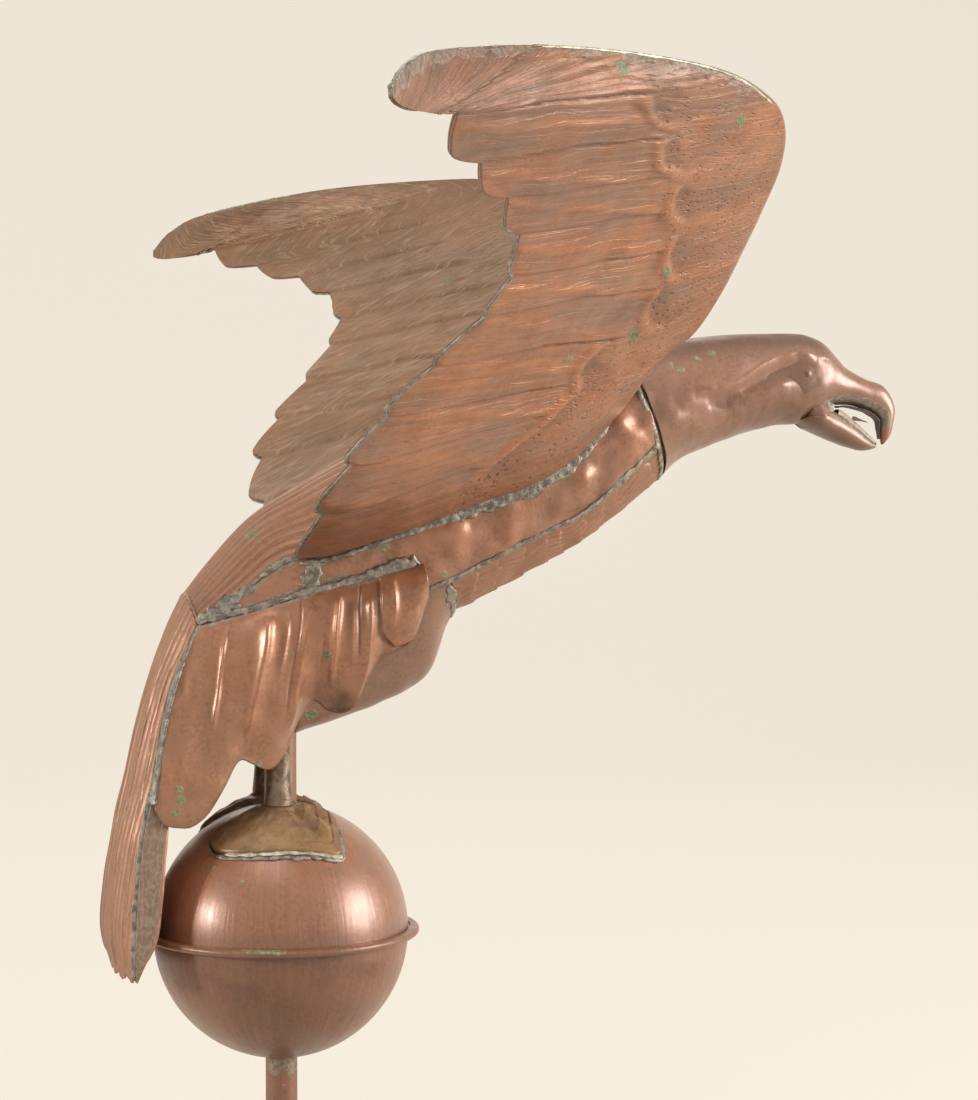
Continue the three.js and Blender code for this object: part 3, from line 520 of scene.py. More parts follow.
def copper(name, *browns, metallic=0.3, barbs=0.0, hairs=0.0, streaks=0.0, depth=0.6, gloss=0.0, coat=0.0):
    """Copper in a plain, a warm and a dark brown, with barbs or rain streaks if asked for; depth is in mm."""
    base, warm, dark = (tone(*brown) for brown in browns)
    material, w, shader = new_material(name, Metallic=metallic, Coat_Weight=coat, Coat_Roughness=COAT_ROUGHNESS)
    weather_and_light = {label: w.trait(label.lower()) for label in ("Rub_and_sheen", "Grime_and_shade", "Patina", "Tin")}
    face = w.use(WEATHERING_AND_LIGHT, {"Base": base, "Warm": warm, "Dark": dark, **weather_and_light})
    colour, height = face["Colour"], face["Height"]
    roughness = w.plus(face["Roughness"], gloss, clamp=True)
    if barbs:
        lines = w.use(FEATHERS, {
            "Flow": w.trait("flow", "Vector"), "Pitting": w.trait("pitting"),
            "Barbs": w.times(w.trait("barbs"), barbs),
        })
        colour = w.blend(w.times(lines["Streak"], 0.25), colour, warm)
        colour = w.blend(w.times(lines["Line"], 0.28), colour, dark)
        colour = w.blend(w.times(lines["Hair"], hairs), colour, HAIR_PALE)
        colour = w.blend(w.times(lines["Pit"], 0.6), colour, PIT_BROWN)
        height = w.plus(height, w.times(lines["Height"], 1.6))
    if streaks:
        rain = w.use(STREAKS, {"Fineness": streaks})["Streak"]
        colour = w.blend(w.times(rain, 0.14), colour, dark)
        roughness = w.plus(roughness, w.times(rain, 0.05), clamp=True)
        height = w.plus(height, w.times(rain, 0.5))
    cover(w, shader, colour, roughness, height, depth * MM, COPPER_RELIEF)
    return material


def dull_metal(name, low, high, tint, metallic, rough_low, rough_high, scale, depth=0.8):
    """Lead solder, cast brass, iron and steel, mottled between two tones with a third in places."""
    low, high, tint = tone(*low), tone(*high), tone(*tint)
    material, w, shader = new_material(name, Metallic=metallic)
    place = w.stretched(w.on_piece())
    body = w.noise(place, scale, 4, 0.6)
    fine = w.noise(place, scale * 5, 3, 0.6)
    colour = w.blend(w.span(body, 0.38, 0.62), low, high)
    colour = w.blend(w.span(w.noise(place, scale * 0.4, 3), 0.55, 0.72, 0.0, 0.6), colour, tint)
    shade = tuple(c * 0.5 for c in low[:3]) + (1,)
    colour = w.blend(w.span(fine, 0.56, 0.75, 0.0, 0.35), colour, shade)
    roughness = w.span(body, 0.3, 0.7, rough_low, rough_high)
    cover(w, shader, colour, roughness, w.plus(body, w.times(fine, 0.4)), depth * MM, CAST_RELIEF)
    return material


# The slot of each finish and how it is made
FINISHES = [
    ("copper_bright", copper(
        "Flank copper", (168, 125, 100), (186, 131, 101), (108, 80, 62), gloss=-0.04, coat=0.25
    )),
    ("copper_bright", copper(
        "Underwing copper", (162, 122, 98), (192, 127, 86), (104, 78, 62), barbs=0.5, hairs=0.1, coat=0.1
    )),
    ("copper", copper(
        "Upper wing copper", (156, 123, 96), (172, 130, 98), (104, 82, 64), barbs=0.8, hairs=0.5, depth=0.7,
        gloss=0.05,
    )),
    ("copper", copper("Tail copper", (176, 131, 103), (188, 136, 106), (122, 90, 72), barbs=0.7, hairs=0.2)),
    ("copper_dark", copper(
        "Head copper", (152, 113, 91), (174, 127, 102), (104, 74, 55), metallic=0.2, depth=0.3, gloss=-0.07,
        coat=0.35,
    )),
    ("copper_dark", copper("Belly copper", (156, 120, 98), (172, 125, 100), (98, 74, 60), gloss=-0.06, coat=0.3)),
    ("copper_bright", copper(
        "Thigh copper", (174, 125, 96), (188, 130, 96), (106, 78, 60), gloss=-0.06, coat=0.35
    )),
    ("copper", copper(
        "Ball copper", (170, 119, 90), (182, 123, 88), (104, 76, 60), metallic=0.18, streaks=26.0, depth=0.2,
        gloss=-0.07, coat=0.65,
    )),
    # A darker copy of the ball copper, as painted shade on the lower half of the ball and on its bead.
    ("copper", copper(
        "Shaded ball copper", (150, 106, 80), (166, 111, 79), (94, 70, 56), metallic=0.15, streaks=26.0,
        depth=0.2, coat=0.3,
    )),
    ("copper", copper("Tube copper", (154, 114, 90), (166, 116, 88), (98, 74, 60), streaks=6.0, depth=0.3)),
    ("brass_cast", copper("Cast brass", (146, 108, 86), (162, 126, 84), (100, 78, 62), metallic=0.15, depth=1.0)),
    ("lead_coated", dull_metal(
        "Lead solder", (118, 111, 102), (172, 163, 148), (140, 126, 108), 0.45, 0.26, 0.42, 240, 1.0
    )),
    ("lead_coated", dull_metal(
        "Bright solder", (176, 166, 142), (226, 220, 196), (190, 184, 140), 0.3, 0.3, 0.5, 260, 0.4
    )),
    # A dark brown lining for the palate strip, whose underside is painted in shade.
    ("lead_coated", dull_metal("Shaded palate lining", (88, 70, 58), (120, 98, 82), (106, 80, 62), 0.3, 0.5, 0.7, 200)),
    ("lead_coated", dull_metal(
        "Lower beak lining", (128, 108, 94), (170, 150, 132), (126, 96, 78), 0.3, 0.4, 0.6, 240, 0.5
    )),
    ("brass_cast", dull_metal(
        "Plain brass", (132, 102, 68), (172, 138, 94), (116, 84, 60), 0.6, 0.45, 0.65, 130
    )),
    ("brass_cast", dull_metal(
        "Leg casting", (104, 82, 64), (156, 134, 112), (124, 90, 68), 0.4, 0.32, 0.5, 110
    )),
    ("spindle_iron", dull_metal(
        "Spindle iron", (70, 64, 58), (96, 88, 80), (104, 74, 54), 0.9, 0.45, 0.65, 80, 0.4
    )),
    ("bearing_steel", dull_metal(
        "Greased steel", (130, 128, 124), (168, 167, 163), (110, 100, 84), 1.0, 0.22, 0.34, 60, 0.1
    )),
]
FINISH = {material.name: material for slot, material in FINISHES}


# Making pieces

SHARP_ANGLE = 40
MERGE_DISTANCE = 1e-6
# How many sides a run of solder has, and how far it goes below its seam in millimetres
SOLDER_SIDES, SOLDER_DEPTH = 14, 0.9


def join_up(bm):
    bmesh.ops.remove_doubles(bm, verts=bm.verts, dist=MERGE_DISTANCE)
    bmesh.ops.recalc_face_normals(bm, faces=bm.faces)


def smooth_into(bm, mesh):
    for face in bm.faces:
        face.smooth = True
    bm.to_mesh(mesh)
    bm.free()


def finish_piece(mesh, name, finish, nodes, body="vane"):
    piece = bpy.data.objects.new(name, mesh)
    bpy.context.scene.collection.objects.link(piece)
    mesh.materials.append(FINISH[finish])
    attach(piece, body)
    if nodes:
        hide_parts(*nodes)
    return piece


def set_trait(mesh, label, values):
    """Stores a number or a direction for each of the mesh's points, for its material to read."""
    kind, field = ("FLOAT_VECTOR", "vector") if values.ndim > 1 else ("FLOAT", "value")
    mesh.attributes.new(label, kind, "POINT").data.foreach_set(field, values.ravel())


def mesh_points(mesh):
    flat = np.empty(len(mesh.vertices) * 3)
    mesh.vertices.foreach_get("co", flat)
    return flat.reshape(-1, 3)


def skin(name, points, finish, nodes=(), traits=None, out=None, wall=0.0, hole=None, lift=BIRD_BASE):
    """A grid laid on an array of places in millimetres. It is given a wall, or closed on itself."""
    rows, cols = points.shape[:2]
    bm = bmesh.new()
    bmesh.ops.create_grid(bm, x_segments=rows - 1, y_segments=cols - 1, size=1)
    mesh = bpy.data.meshes.new(name)
    bm.to_mesh(mesh)
    bm.free()
    flat = mesh_points(mesh)
    i = np.rint((flat[:, 0] + 1) / 2 * (rows - 1)).astype(int)
    j = np.rint((flat[:, 1] + 1) / 2 * (cols - 1)).astype(int)
    mesh.vertices.foreach_set("co", ((points[i, j] + [0, 0, lift]) * MM).ravel())
    for label, values in (traits or {}).items():
        set_trait(mesh, label, np.asarray(values, float)[i, j])
    bm = bmesh.new()
    bm.from_mesh(mesh)
    if hole:
        open_hole(bm, hole * MM)
    if wall:
        middle = rows // 2, cols // 2
        spot = Vector((points[middle] + [0, 0, lift]) * MM)
        face = min(bm.faces, key=lambda f: (f.calc_center_median() - spot).length_squared)
        if face.normal.dot(Vector(out[middle])) < 0:
            bmesh.ops.reverse_faces(bm, faces=bm.faces)
    else:
        join_up(bm)
    smooth_into(bm, mesh)
    piece = finish_piece(mesh, name, finish, nodes)
    if wall:
        thicken = piece.modifiers.new("Sheet", "SOLIDIFY")
        thicken.thickness = wall * MM
        thicken.offset = -1
    return piece


def open_hole(bm, radius):
    """Pulls the points near a round hole about the upright axis onto its edge, and opens it."""
    step = radius * 0.16
    for vert in bm.verts:
        away = math.hypot(vert.co.x, vert.co.y)
        if abs(away - radius) < step and away > 0:
            vert.co.x *= radius / away
            vert.co.y *= radius / away
    inside = [f for f in bm.faces if math.hypot(*f.calc_center_median().xy) < radius]
    bmesh.ops.delete(bm, geom=inside, context="FACES")


def spun(name, profile, finish, nodes=(), sides=96, body="vane", place=None, traits=None):
    """A piece turned about the upright axis from a profile of radius and height in millimetres."""
    bm = bmesh.new()
    verts = [bm.verts.new((r * MM, 0, z * MM)) for r, z in profile]
    edges = [bm.edges.new(pair) for pair in zip(verts, verts[1:])]
    bmesh.ops.spin(
        bm, geom=verts + edges, cent=(0, 0, 0), axis=(0, 0, 1), angle=2 * math.pi, steps=sides, use_merge=True
    )
    join_up(bm)
    if place:
        bmesh.ops.transform(bm, matrix=place, verts=bm.verts)
    mesh = bpy.data.meshes.new(name)
    smooth_into(bm, mesh)
    mesh.set_sharp_from_angle(angle=math.radians(SHARP_ANGLE))
    if traits:
        for label, values in traits(mesh_points(mesh) / MM).items():
            set_trait(mesh, label, values)
    return finish_piece(mesh, name, finish, nodes, body)


def solder(name, path, out, widths, height, seed, lift=BIRD_BASE, finish="Lead solder"):
    """An uneven run of solder laid along a path on a surface."""
    count = len(path)
    ahead = unit(np.gradient(path, axis=0))
    across = unit(np.cross(ahead, out))
    up = unit(np.cross(across, ahead))
    up = turned(up, (up * out).sum(-1) < 0)
    turn = np.linspace(0, 2 * np.pi, SOLDER_SIDES + 1)
    c, s = np.cos(turn), np.sin(turn)
    s[np.abs(s) < 1e-9] = 0
    ends = np.minimum(np.arange(count), np.arange(count)[::-1]) / 4
    taper = np.sqrt(held(ends))
    wide = np.broadcast_to(widths, (count,)) / 2 * taper
    base = path[:, None] + across[:, None] * (wide[:, None] * c)[..., None]
    ragged = 1 + 0.5 * rough(base + seed * 31, 9, seed) + 0.35 * lumps(base, 2.6, seed + 2)
    base = path[:, None] + across[:, None] * (wide[:, None] * c * ragged)[..., None]
    high = np.broadcast_to(height, (count,))[:, None]
    crags = 0.8 + 0.7 * rough(base, 6, seed + 5) + 0.35 * lumps(base, 1.8, seed + 6)
    tall = np.where(s > 0, high * np.maximum(s, 0) ** 0.6 * crags, s * SOLDER_DEPTH)
    points = base + up[:, None] * (tall * taper[:, None])[..., None]
    return skin(name, points, finish, lift=lift)


# Camera and studio, in metres

CAMERA_PLACE = Vector((-0.2264, -1.5977, 0.549))
CAMERA_YAW, CAMERA_PITCH = 12.5, -2.44
SENSOR = 36
FOCAL_SHARE = 2700 / 1100
PAPER, CREAM, PAPER_GLOW = tone(124, 115, 103), tone(244, 236, 222), 0.82
PAPER_WIDTH, PAPER_TOP = 12.0, 5.0
FLOOR_START, FLOOR_END, BEND_RADIUS = -4.0, 2.6, 1.6
ROOM_LIGHT, ROOM_SEEN = tone(246, 243, 238), tone(242, 230, 211)
ROOM_STRENGTHS = 0.62, 1.03
# Each lamp's place, what it is aimed at, its size, watts and colour
LAMPS = [
    ("Left window", (-2.01, -0.4, 0.8), (0, 0, 0.35), 0.4, 19, (1.0, 0.98, 0.95)),
    ("Right window", (1.93, -0.66, 0.82), (0.1, 0, 0.4), 1.1, 36, (1.0, 0.99, 0.98)),
    ("Overhead", (-0.4, -0.9, 3.0), (0.1, 0, 0.4), 1.8, 14, (1.0, 0.98, 0.95)),
    ("Back wall", (0.2, 2.2, 1.9), (0.1, 0, 0.4), 1.6, 9, (1.0, 0.98, 0.95)),
]


def stand_camera():
    """A camera at the photograph's angle."""
    yaw, pitch = math.radians(CAMERA_YAW), math.radians(CAMERA_PITCH)
    ahead = Vector((math.sin(yaw) * math.cos(pitch), math.cos(yaw) * math.cos(pitch), math.sin(pitch)))
    right = Vector((math.cos(yaw), -math.sin(yaw), 0))
    turn = Matrix((right, right.cross(ahead), -ahead)).transposed()
    lens = bpy.data.cameras.new("Camera")
    lens.sensor_width = SENSOR
    lens.lens = SENSOR * FOCAL_SHARE
    lens.clip_end = 30
    camera = bpy.data.objects.new("Camera", lens)
    camera.matrix_world = Matrix.Translation(CAMERA_PLACE) @ turn.to_4x4()
    bpy.context.scene.collection.objects.link(camera)
    bpy.context.scene.camera = camera


def cream_paper():
    """Pale paper that the camera, metal and glass see in its own cream, whatever light falls on it."""
    paper, w, shader = new_material("Cream paper", Roughness=0.9, Specular_IOR_Level=0.1)
    path = w.tree.nodes.new("ShaderNodeLightPath").outputs
    seen = w.math("MAXIMUM", path["Is Camera Ray"], path["Is Glossy Ray"])
    seen = w.math("MAXIMUM", seen, path["Is Transmission Ray"])
    w.fill(shader, {"Base Color": PAPER, "Emission Color": CREAM, "Emission Strength": w.times(seen, PAPER_GLOW)})
    return paper


def hang_paper():
    """One sheet for the floor and the backdrop, with a rounded bend between them."""
    bm = bmesh.new()
    bend = [
        (FLOOR_END + BEND_RADIUS * math.sin(a), BEND_RADIUS * (1 - math.cos(a)))
        for a in np.linspace(0, math.pi / 2, 25)[1:]
    ]
    profile = [(FLOOR_START, 0.0), (FLOOR_END, 0.0), *bend, (FLOOR_END + BEND_RADIUS, PAPER_TOP)]
    verts = [bm.verts.new((-PAPER_WIDTH / 2, y, z)) for y, z in profile]
    edges = [bm.edges.new(pair) for pair in zip(verts, verts[1:])]
    swept = bmesh.ops.extrude_edge_only(bm, edges=edges)["geom"]
    far = [v for v in swept if isinstance(v, bmesh.types.BMVert)]
    bmesh.ops.translate(bm, vec=(PAPER_WIDTH, 0, 0), verts=far)
    mesh = bpy.data.meshes.new("Sweep")
    smooth_into(bm, mesh)
    mesh.materials.append(cream_paper())
    sweep = bpy.data.objects.new("Sweep", mesh)
    bpy.context.scene.collection.objects.link(sweep)


def light_studio():
    scene = bpy.context.scene
    scene.view_settings.view_transform = "Standard"
    world = bpy.data.worlds.new("Studio")
    world.use_nodes = True
    w = Wiring(world.node_tree)
    seen = w.add("LightPath", {}, "Is Camera Ray")
    w.fill(world.node_tree.nodes["Background"], {
        "Color": w.blend(seen, ROOM_LIGHT, ROOM_SEEN),
        "Strength": w.span(seen, 0, 1, *ROOM_STRENGTHS),
    })
    scene.world = world
    for name, place, aim, size, watts, colour in LAMPS:
        light = bpy.data.lights.new(name, "AREA")
        light.shape = "DISK"
        light.size = size
        light.energy = watts
        light.color = colour
        lamp = bpy.data.objects.new(name, light)
        lamp.location = place
        lamp.rotation_euler = (Vector(aim) - Vector(place)).to_track_quat("-Z", "Y").to_euler()
        scene.collection.objects.link(lamp)


stand_camera()
hang_paper()
light_studio()


# Torso, whose surfaces are in millimetres above the bird's base

def body_section(s):
    """The top and foot (x, z) of the torso's section, and half its width, from the neck to the rump."""
    row = along(TORSO, s)
    top = np.stack([row[..., 0] * TORSO_LENGTH - RUMP_SETBACK, row[..., 1] * TORSO_RISE + TORSO_BASE], -1)
    foot = np.stack([row[..., 2] * TORSO_LENGTH - RUMP_SETBACK, row[..., 3] * TORSO_RISE + TORSO_BASE], -1)
    return top, foot, row[..., 4] * TORSO_WIDTH


def on_section(section, degrees):
    """Places round a section: 90 at its top, -90 at its foot and 0 at the right side."""
    top, foot, half = section
    angle = np.radians(degrees)
    up = (1 + np.sin(angle)) / 2
    return xyz(mix(foot[..., 0], top[..., 0], up), -half * np.cos(angle), mix(foot[..., 1], top[..., 1], up))


def shrunk(section, wall):
    """The section inside a wall."""
    top, foot, half = section
    tall = np.linalg.norm(top - foot, axis=-1)
    inset = np.minimum(wall, np.minimum(half * 0.4, tall * 0.2))
    middle = (top + foot) / 2
    scale = (1 - 2 * inset / tall)[..., None]
    return (top - middle) * scale + middle, (foot - middle) * scale + middle, half - inset


def torso(s, degrees):
    return on_section(body_section(s), degrees)


def flank_top(s):
    return along(FLANK_TOP, s)


def flank_foot(s):
    return along(FLANK_FOOT, s)


SEAM_ANGLE = math.degrees(SEAM_GAP / (TORSO_WIDTH / 2))


def flank_place(s, v):
    return torso(s, mix(flank_foot(s), flank_top(s), v))


def back_place(s, v):
    low = flank_top(s) + SEAM_ANGLE
    return torso(s, mix(low, 180 - low, v))


def breast_place(s, v):
    low = flank_foot(s) - SEAM_ANGLE
    return torso(s, mix(low, -180 - low, v))


BELLY_START = BREAST_END + SEAM_GAP / TORSO_LENGTH


def belly_place(b, v):
    s = mix(BELLY_START, 1, b)
    low = flank_foot(s) - SEAM_ANGLE
    point = torso(s, mix(low, -180 - low, v))
    point[..., 2] -= BELLY_DROP * along(BELLY_DROPS, b) * np.sin(np.pi * held(v))
    return point


# The right side is modelled, and its places are multiplied by these for each side
SIDES = {"right": np.array([1, 1, 1]), "left": np.array([1, -1, 1])}


def sheet(node, points, out, finish, traits=None, wall=COPPER_WALL, hole=None):
    """The sheet that replaces a node, with its outer face on the points."""
    skin(f"{node}_sheet", points, finish, [node], traits, out, wall, hole)


def both_sides(name, points, out, finish, traits):
    for side, flip in SIDES.items():
        sheet(f"{name}_{side}", points * flip, out * flip, finish, traits)


def spots(points, places, size):
    """Green spots at given places (x, z) above the ball's centre, on the piece itself."""
    x, z = side_view(points)
    total = np.zeros(x.shape)
    for k, (px, pz) in enumerate(places):
        ragged = 1 + 0.5 * lumps(points, 3.0, 40 + k)
        total = np.maximum(total, bump(np.hypot(x - px, (z - pz) * 1.3), size * ragged))
    return total


def thigh_angle(s):
    """Where the thigh's top edge lies on the flank, in degrees."""
    return along(THIGH_TOP, (THIGH_START - s) / (THIGH_START - THIGH_END))


# Peened places on the flank, (x, z) above the ball's centre and their size
PEENED = [(146, 262, 13), (185, 287, 9), (166, 276, 7)]
PEEN_PITCH = 2.7
# One degree round the flank, in millimetres
FLANK_DEGREE = 0.77
# The back's and the breast's width round the body, and the pitch of the lines on them
BACK_SPREAD, BACK_RIB_PITCH = 120, 6.5
BREAST_SPREAD, BREAST_LINE_PITCH = 110, 5.5
SCALE_LENGTH, SCALE_WIDTH = 15, 16


def make_flanks():
    s, v = grid(270, 56)
    base = flank_place(s, v)
    x, z = side_view(base)
    out = -normal_of(flank_place, s, v)
    front = 1 - smooth((s - 0.42) / 0.3)
    dents = 2.3 * lumps(base, 11, 3) * front + 0.9 * lumps(base, 22, 4) + 0.35 * lumps(base, 6, 5)
    dents += 2.0 * bump(np.hypot(x - 203, z - 299), 11)
    peened = np.sin((x + 0.4 * z) * 2 * np.pi / PEEN_PITCH + 1.5 * lumps(base, 8, 9))
    patch = sum(bump(np.hypot(x - px, z - pz), size) ** 2 for px, pz, size in PEENED)
    fade = smooth(v / 0.12) * smooth((1 - v) / 0.1)
    relief = (dents + (0.5 * peened + 1.2) * np.minimum(patch, 1)) * fade
    angle = mix(flank_foot(s), flank_top(s), v)
    ragged = rough(base, 7, 15)
    below_wing = (flank_top(s) - angle) * FLANK_DEGREE
    off_thigh = np.abs(angle - thigh_angle(s)) * FLANK_DEGREE
    under_wing = smooth((6 + 5 * ragged - below_wing) / 4) * smooth((s - 0.05) / 0.05)
    over_thigh = smooth((6 + 4 * ragged - off_thigh) / 4) * smooth((s - THIGH_END) / 0.02)
    rump = smooth((s - 0.93 + 0.05 * ragged) / 0.02)
    # Painted light on the flank: rub lightens the dent crests and the peened patches as painted highlight, and
    # grime darkens the dent hollows as painted shade and darkens along the top and bottom edges.
    traits = {
        "rub_and_sheen": held(smooth((dents - 0.2) / 1.2) * 0.6 + np.minimum(patch, 1) * 0.8),
        "grime_and_shade": bump(v, 0.06) * 0.5 + bump(1 - v, 0.05) * 0.4 + smooth(-dents / 2) * 0.3,
        "patina": spots(base, [(124.5, 254.9), (55.6, 230.7), (92, 214)], 4.5) * 0.8,
        "tin": held(np.maximum(np.maximum(under_wing, over_thigh), rump) * 0.75),
    }
    both_sides("flank", raised(base, out, relief), out, "Flank copper", traits)


def make_back():
    s, v = grid(200, 161)
    base = back_place(s, v)
    out = -normal_of(back_place, s, v)
    half = (v - 0.5) * BACK_SPREAD
    ribs = np.sin(half * 2 * np.pi / BACK_RIB_PITCH + 0.8 * lumps(base, 40, 21))
    relief = 0.45 * ribs + 0.5 * lumps(base, 24, 22)
    edge = smooth(np.minimum(v, 1 - v) / 0.04)
    # Painted light on the back: rub lightens the rib crests as painted highlight, and grime darkens the troughs
    # between them as painted shade.
    traits = {
        "rub_and_sheen": smooth(ribs) * 0.35,
        "grime_and_shade": smooth(-ribs) * 0.35,
        "patina": spots(base, [(-20, 238)], 7) * 0.7,
        "flow": xyz(half, s * TORSO_LENGTH, 0),
        "barbs": np.ones(s.shape),
    }
    sheet("back_panel", raised(base, out, relief * edge), out, "Tail copper", traits)


def make_breast():
    s, v = grid(np.linspace(0, BREAST_END, 170), 130)
    base = breast_place(s, v)
    out = normal_of(breast_place, s, v)
    along_mm = s * TORSO_LENGTH + 7 * lumps(base, 17, 33)
    across = (v - 0.5) * BREAST_SPREAD + 4 * lumps(base, 13, 34)
    number = np.floor(along_mm / SCALE_LENGTH)
    row = along_mm / SCALE_LENGTH + 0.5 * np.abs(((across / SCALE_WIDTH + 0.5 * number) % 1) - 0.5)
    scale = row % 1
    feather = (1 - scale) ** 1.5 * 1.1 * (0.6 + 0.4 * lumps(base, 20, 35))
    edge = smooth(np.minimum(v, 1 - v) / 0.05) * smooth(s / 0.02) * smooth((BREAST_END - s) / 0.03)
    lines = np.sin(across * 2 * np.pi / BREAST_LINE_PITCH)
    relief = (feather - 0.3 + 0.7 * lumps(base, 14, 31) + 0.3 * lines) * edge
    # Painted light on the breast: each scale is lighter where it stands highest, as painted highlight, and darker
    # where it sinks under the next, as painted shade.
    traits = {
        "rub_and_sheen": smooth(1 - scale * 2) * 0.5,
        "grime_and_shade": smooth((scale - 0.75) / 0.25) * 0.35,
        "patina": spots(base, [(94, 208)], 5) * 0.8,
        "flow": xyz(across, along_mm, 0),
        "barbs": np.ones(s.shape) * 0.8,
    }
    sheet("breast_panel", raised(base, out, relief), out, "Tail copper", traits)


def make_belly():
    b, v = grid(140, 140)
    base = belly_place(b, v)
    out = normal_of(belly_place, b, v)
    relief = 0.7 * lumps(base, 20, 41) + 0.3 * lumps(base, 9, 42)
    edge = smooth(np.minimum(v, 1 - v) / 0.06) * smooth(b / 0.04) * smooth((1 - b) / 0.04)
    traits = {
        "rub_and_sheen": smooth(lumps(base, 24, 43)) * 0.3,
        "grime_and_shade": bump(b, 0.03) * 0.5 + smooth((b - 0.6) / 0.3) * 0.25,
        "patina": spots(base, [(9.3, 132.6), (16, 130)], 5),
        "tin": smooth((0.06 - b) / 0.05) * 0.7,
    }
    hole = TUBE_RADIUS - TUBE_WALL / 2
    sheet("belly_panel", raised(base, out, relief * edge), out, "Belly copper", traits, hole=hole)


# Head

NECK_TOP, NECK_FOOT, _ = body_section(np.array(0.0))
NECK_MIDDLE = (NECK_TOP + NECK_FOOT) / 2
NECK_UP = unit(NECK_TOP - NECK_FOOT)
NECK_AHEAD = np.array([NECK_UP[1], -NECK_UP[0]])


def head_place(x, z):
    return np.stack(np.broadcast_arrays(x * HEAD_LENGTH, z * HEAD_RISE), -1) + NECK_MIDDLE + NECK_AHEAD * NECK_GAP


def head_section(table, h):
    row = along(table, h)
    return head_place(row[..., 0], row[..., 1]), head_place(row[..., 2], row[..., 3]), row[..., 4] * HEAD_WIDTH


# How dark the inner faces of the head shell are made, as painted shade.
INSIDE_SHADE = 0.6
# Lines on the side of the head, (x, z) above the ball's centre
BROW = [(246, 320), (254, 324), (264, 325), (274, 328), (289, 337), (302, 343), (316, 346), (329, 344)]
CHEEK = [(269, 312), (272, 315), (278, 319), (289, 323), (302, 327), (311, 328)]


def head_relief(points):
    """The forms on the side of the head, and where they stand high and lie low."""
    x, z = side_view(points)
    gap, side, share = near_line(x, z, BROW)
    swell = smooth(share * 5) * smooth((1.04 - share) * 8)
    ridge = (2.6 * bump(gap, np.where(side > 0, 6.0, 4.0)) + 0.9 * bump(gap, 2.2)) * swell
    below = -1.5 * bump(gap - 10, 5.5) * np.where(side < 0, 1, 0) * smooth(share * 3) * swell
    gap2, side2, share2 = near_line(x, z, CHEEK)
    cheek = 1.9 * bump(gap2, np.where(side2 > 0, 4.0, 8.0)) + 0.8 * bump(gap2, 2.2)
    cheek = cheek * smooth(share2 * 3) * smooth((1.1 - share2) * 4)
    socket = -1.7 * bump(np.hypot(x - 320, (z - 331) * 0.8), 8.5)
    eye = 2.8 * bump(np.hypot((x - 322.5) * 1.25, z - 334), 3.1)
    nape = 1.8 * bump(np.hypot(x - 247, z - 320), 8) + 1.1 * bump(np.hypot(x - 236, z - 306), 6)
    nape += 0.9 * bump(np.hypot(x - 229, (z - 310) * 0.5), 5)
    fold = -0.8 * bump(np.hypot(x - 276, (z - 315) * 1.2), 5.0)
    front = 1 - smooth((x - 330) / 14)
    dents = 0.45 * lumps(points, 12, 51) + 0.9 * lumps(points, 15, 52) * smooth((275 - x) / 30)
    dents += 0.18 * lumps(points, 4.5, 53)
    high, low = ridge + cheek + eye * 0.5 + nape * 0.5, -(below + socket + fold)
    return (ridge + below + cheek + socket + eye + nape + fold + dents) * front, high, low


def head_side(table):
    """A surface from the shares along the head and the degrees round it."""
    return lambda h, degrees: on_section(head_section(table, h), degrees)


def make_head():
    h, degrees = grid(260, np.linspace(-90, 90, 86))
    place = head_side(HEAD)
    base = place(h, degrees)
    out = normal_of(place, h, degrees)
    relief, high, low = head_relief(base)
    points = raised(base, out, relief * smooth((90 - np.abs(degrees)) / 14))
    points[..., 1] = np.minimum(points[..., 1], 0) - SEAM_GAP / 2
    x, _ = side_view(base)
    beak = smooth((x - 334) / 8)
    foot = head_section(HEAD, h)[1]
    from_lip = np.hypot(base[..., 0] - foot[..., 0], base[..., 2] - foot[..., 1])
    lip = smooth((x - 330) / 4) * smooth((7.5 - from_lip) / 2.5) * smooth((0.88 - h) / 0.06)
    # Painted light on the head: rub lightens the ridges as painted highlight, and grime darkens the hollows as
    # painted shade and also darkens the head towards its top.
    outer_traits = {
        "rub_and_sheen": smooth(high / 2.5) * 0.6,
        "grime_and_shade": held(smooth(low / 2.2) * 0.5 + smooth((degrees - 25) / 35) * 0.75 * (1 - beak)),
        "patina": spots(base, [(233, 339), (251, 343), (240, 336), (262, 346)], 5) * 0.62,
        "tin": lip * 0.85,
    }
    inner = on_section(shrunk(head_section(HEAD, h), COPPER_WALL), degrees)
    inner[..., 1] -= SEAM_GAP / 2
    inside = {"rub_and_sheen": 0, "grime_and_shade": INSIDE_SHADE, "patina": 0, "tin": 0}
    traits = {
        label: np.concatenate([marks, np.full_like(marks, inside[label])], axis=1)
        for label, marks in outer_traits.items()
    }
    for side, flip in SIDES.items():
        shell = np.concatenate([points * flip, inner[:, ::-1] * flip], axis=1)
        closed_skin(f"head_{side}_half", shell, "Head copper", [f"head_{side}"], traits)


def closed_ends(piece):
    """Fills the open ends of a shell."""
    bm = bmesh.new()
    bm.from_mesh(piece.data)
    rims = [e for e in bm.edges if e.is_boundary]
    bmesh.ops.holes_fill(bm, edges=rims, sides=0)
    bmesh.ops.triangulate(bm, faces=[f for f in bm.faces if len(f.verts) > 4])
    bmesh.ops.recalc_face_normals(bm, faces=bm.faces)
    bm.to_mesh(piece.data)
    bm.free()
    return piece


def closed_skin(name, points, finish, nodes, traits):
    """A shell whose grid closes on itself across, with both ends filled."""
    points = np.concatenate([points, points[:, :1]], axis=1)
    traits = {label: np.concatenate([marks, marks[:, :1]], axis=1) for label, marks in traits.items()}
    return closed_ends(skin(name, points, finish, nodes, traits))


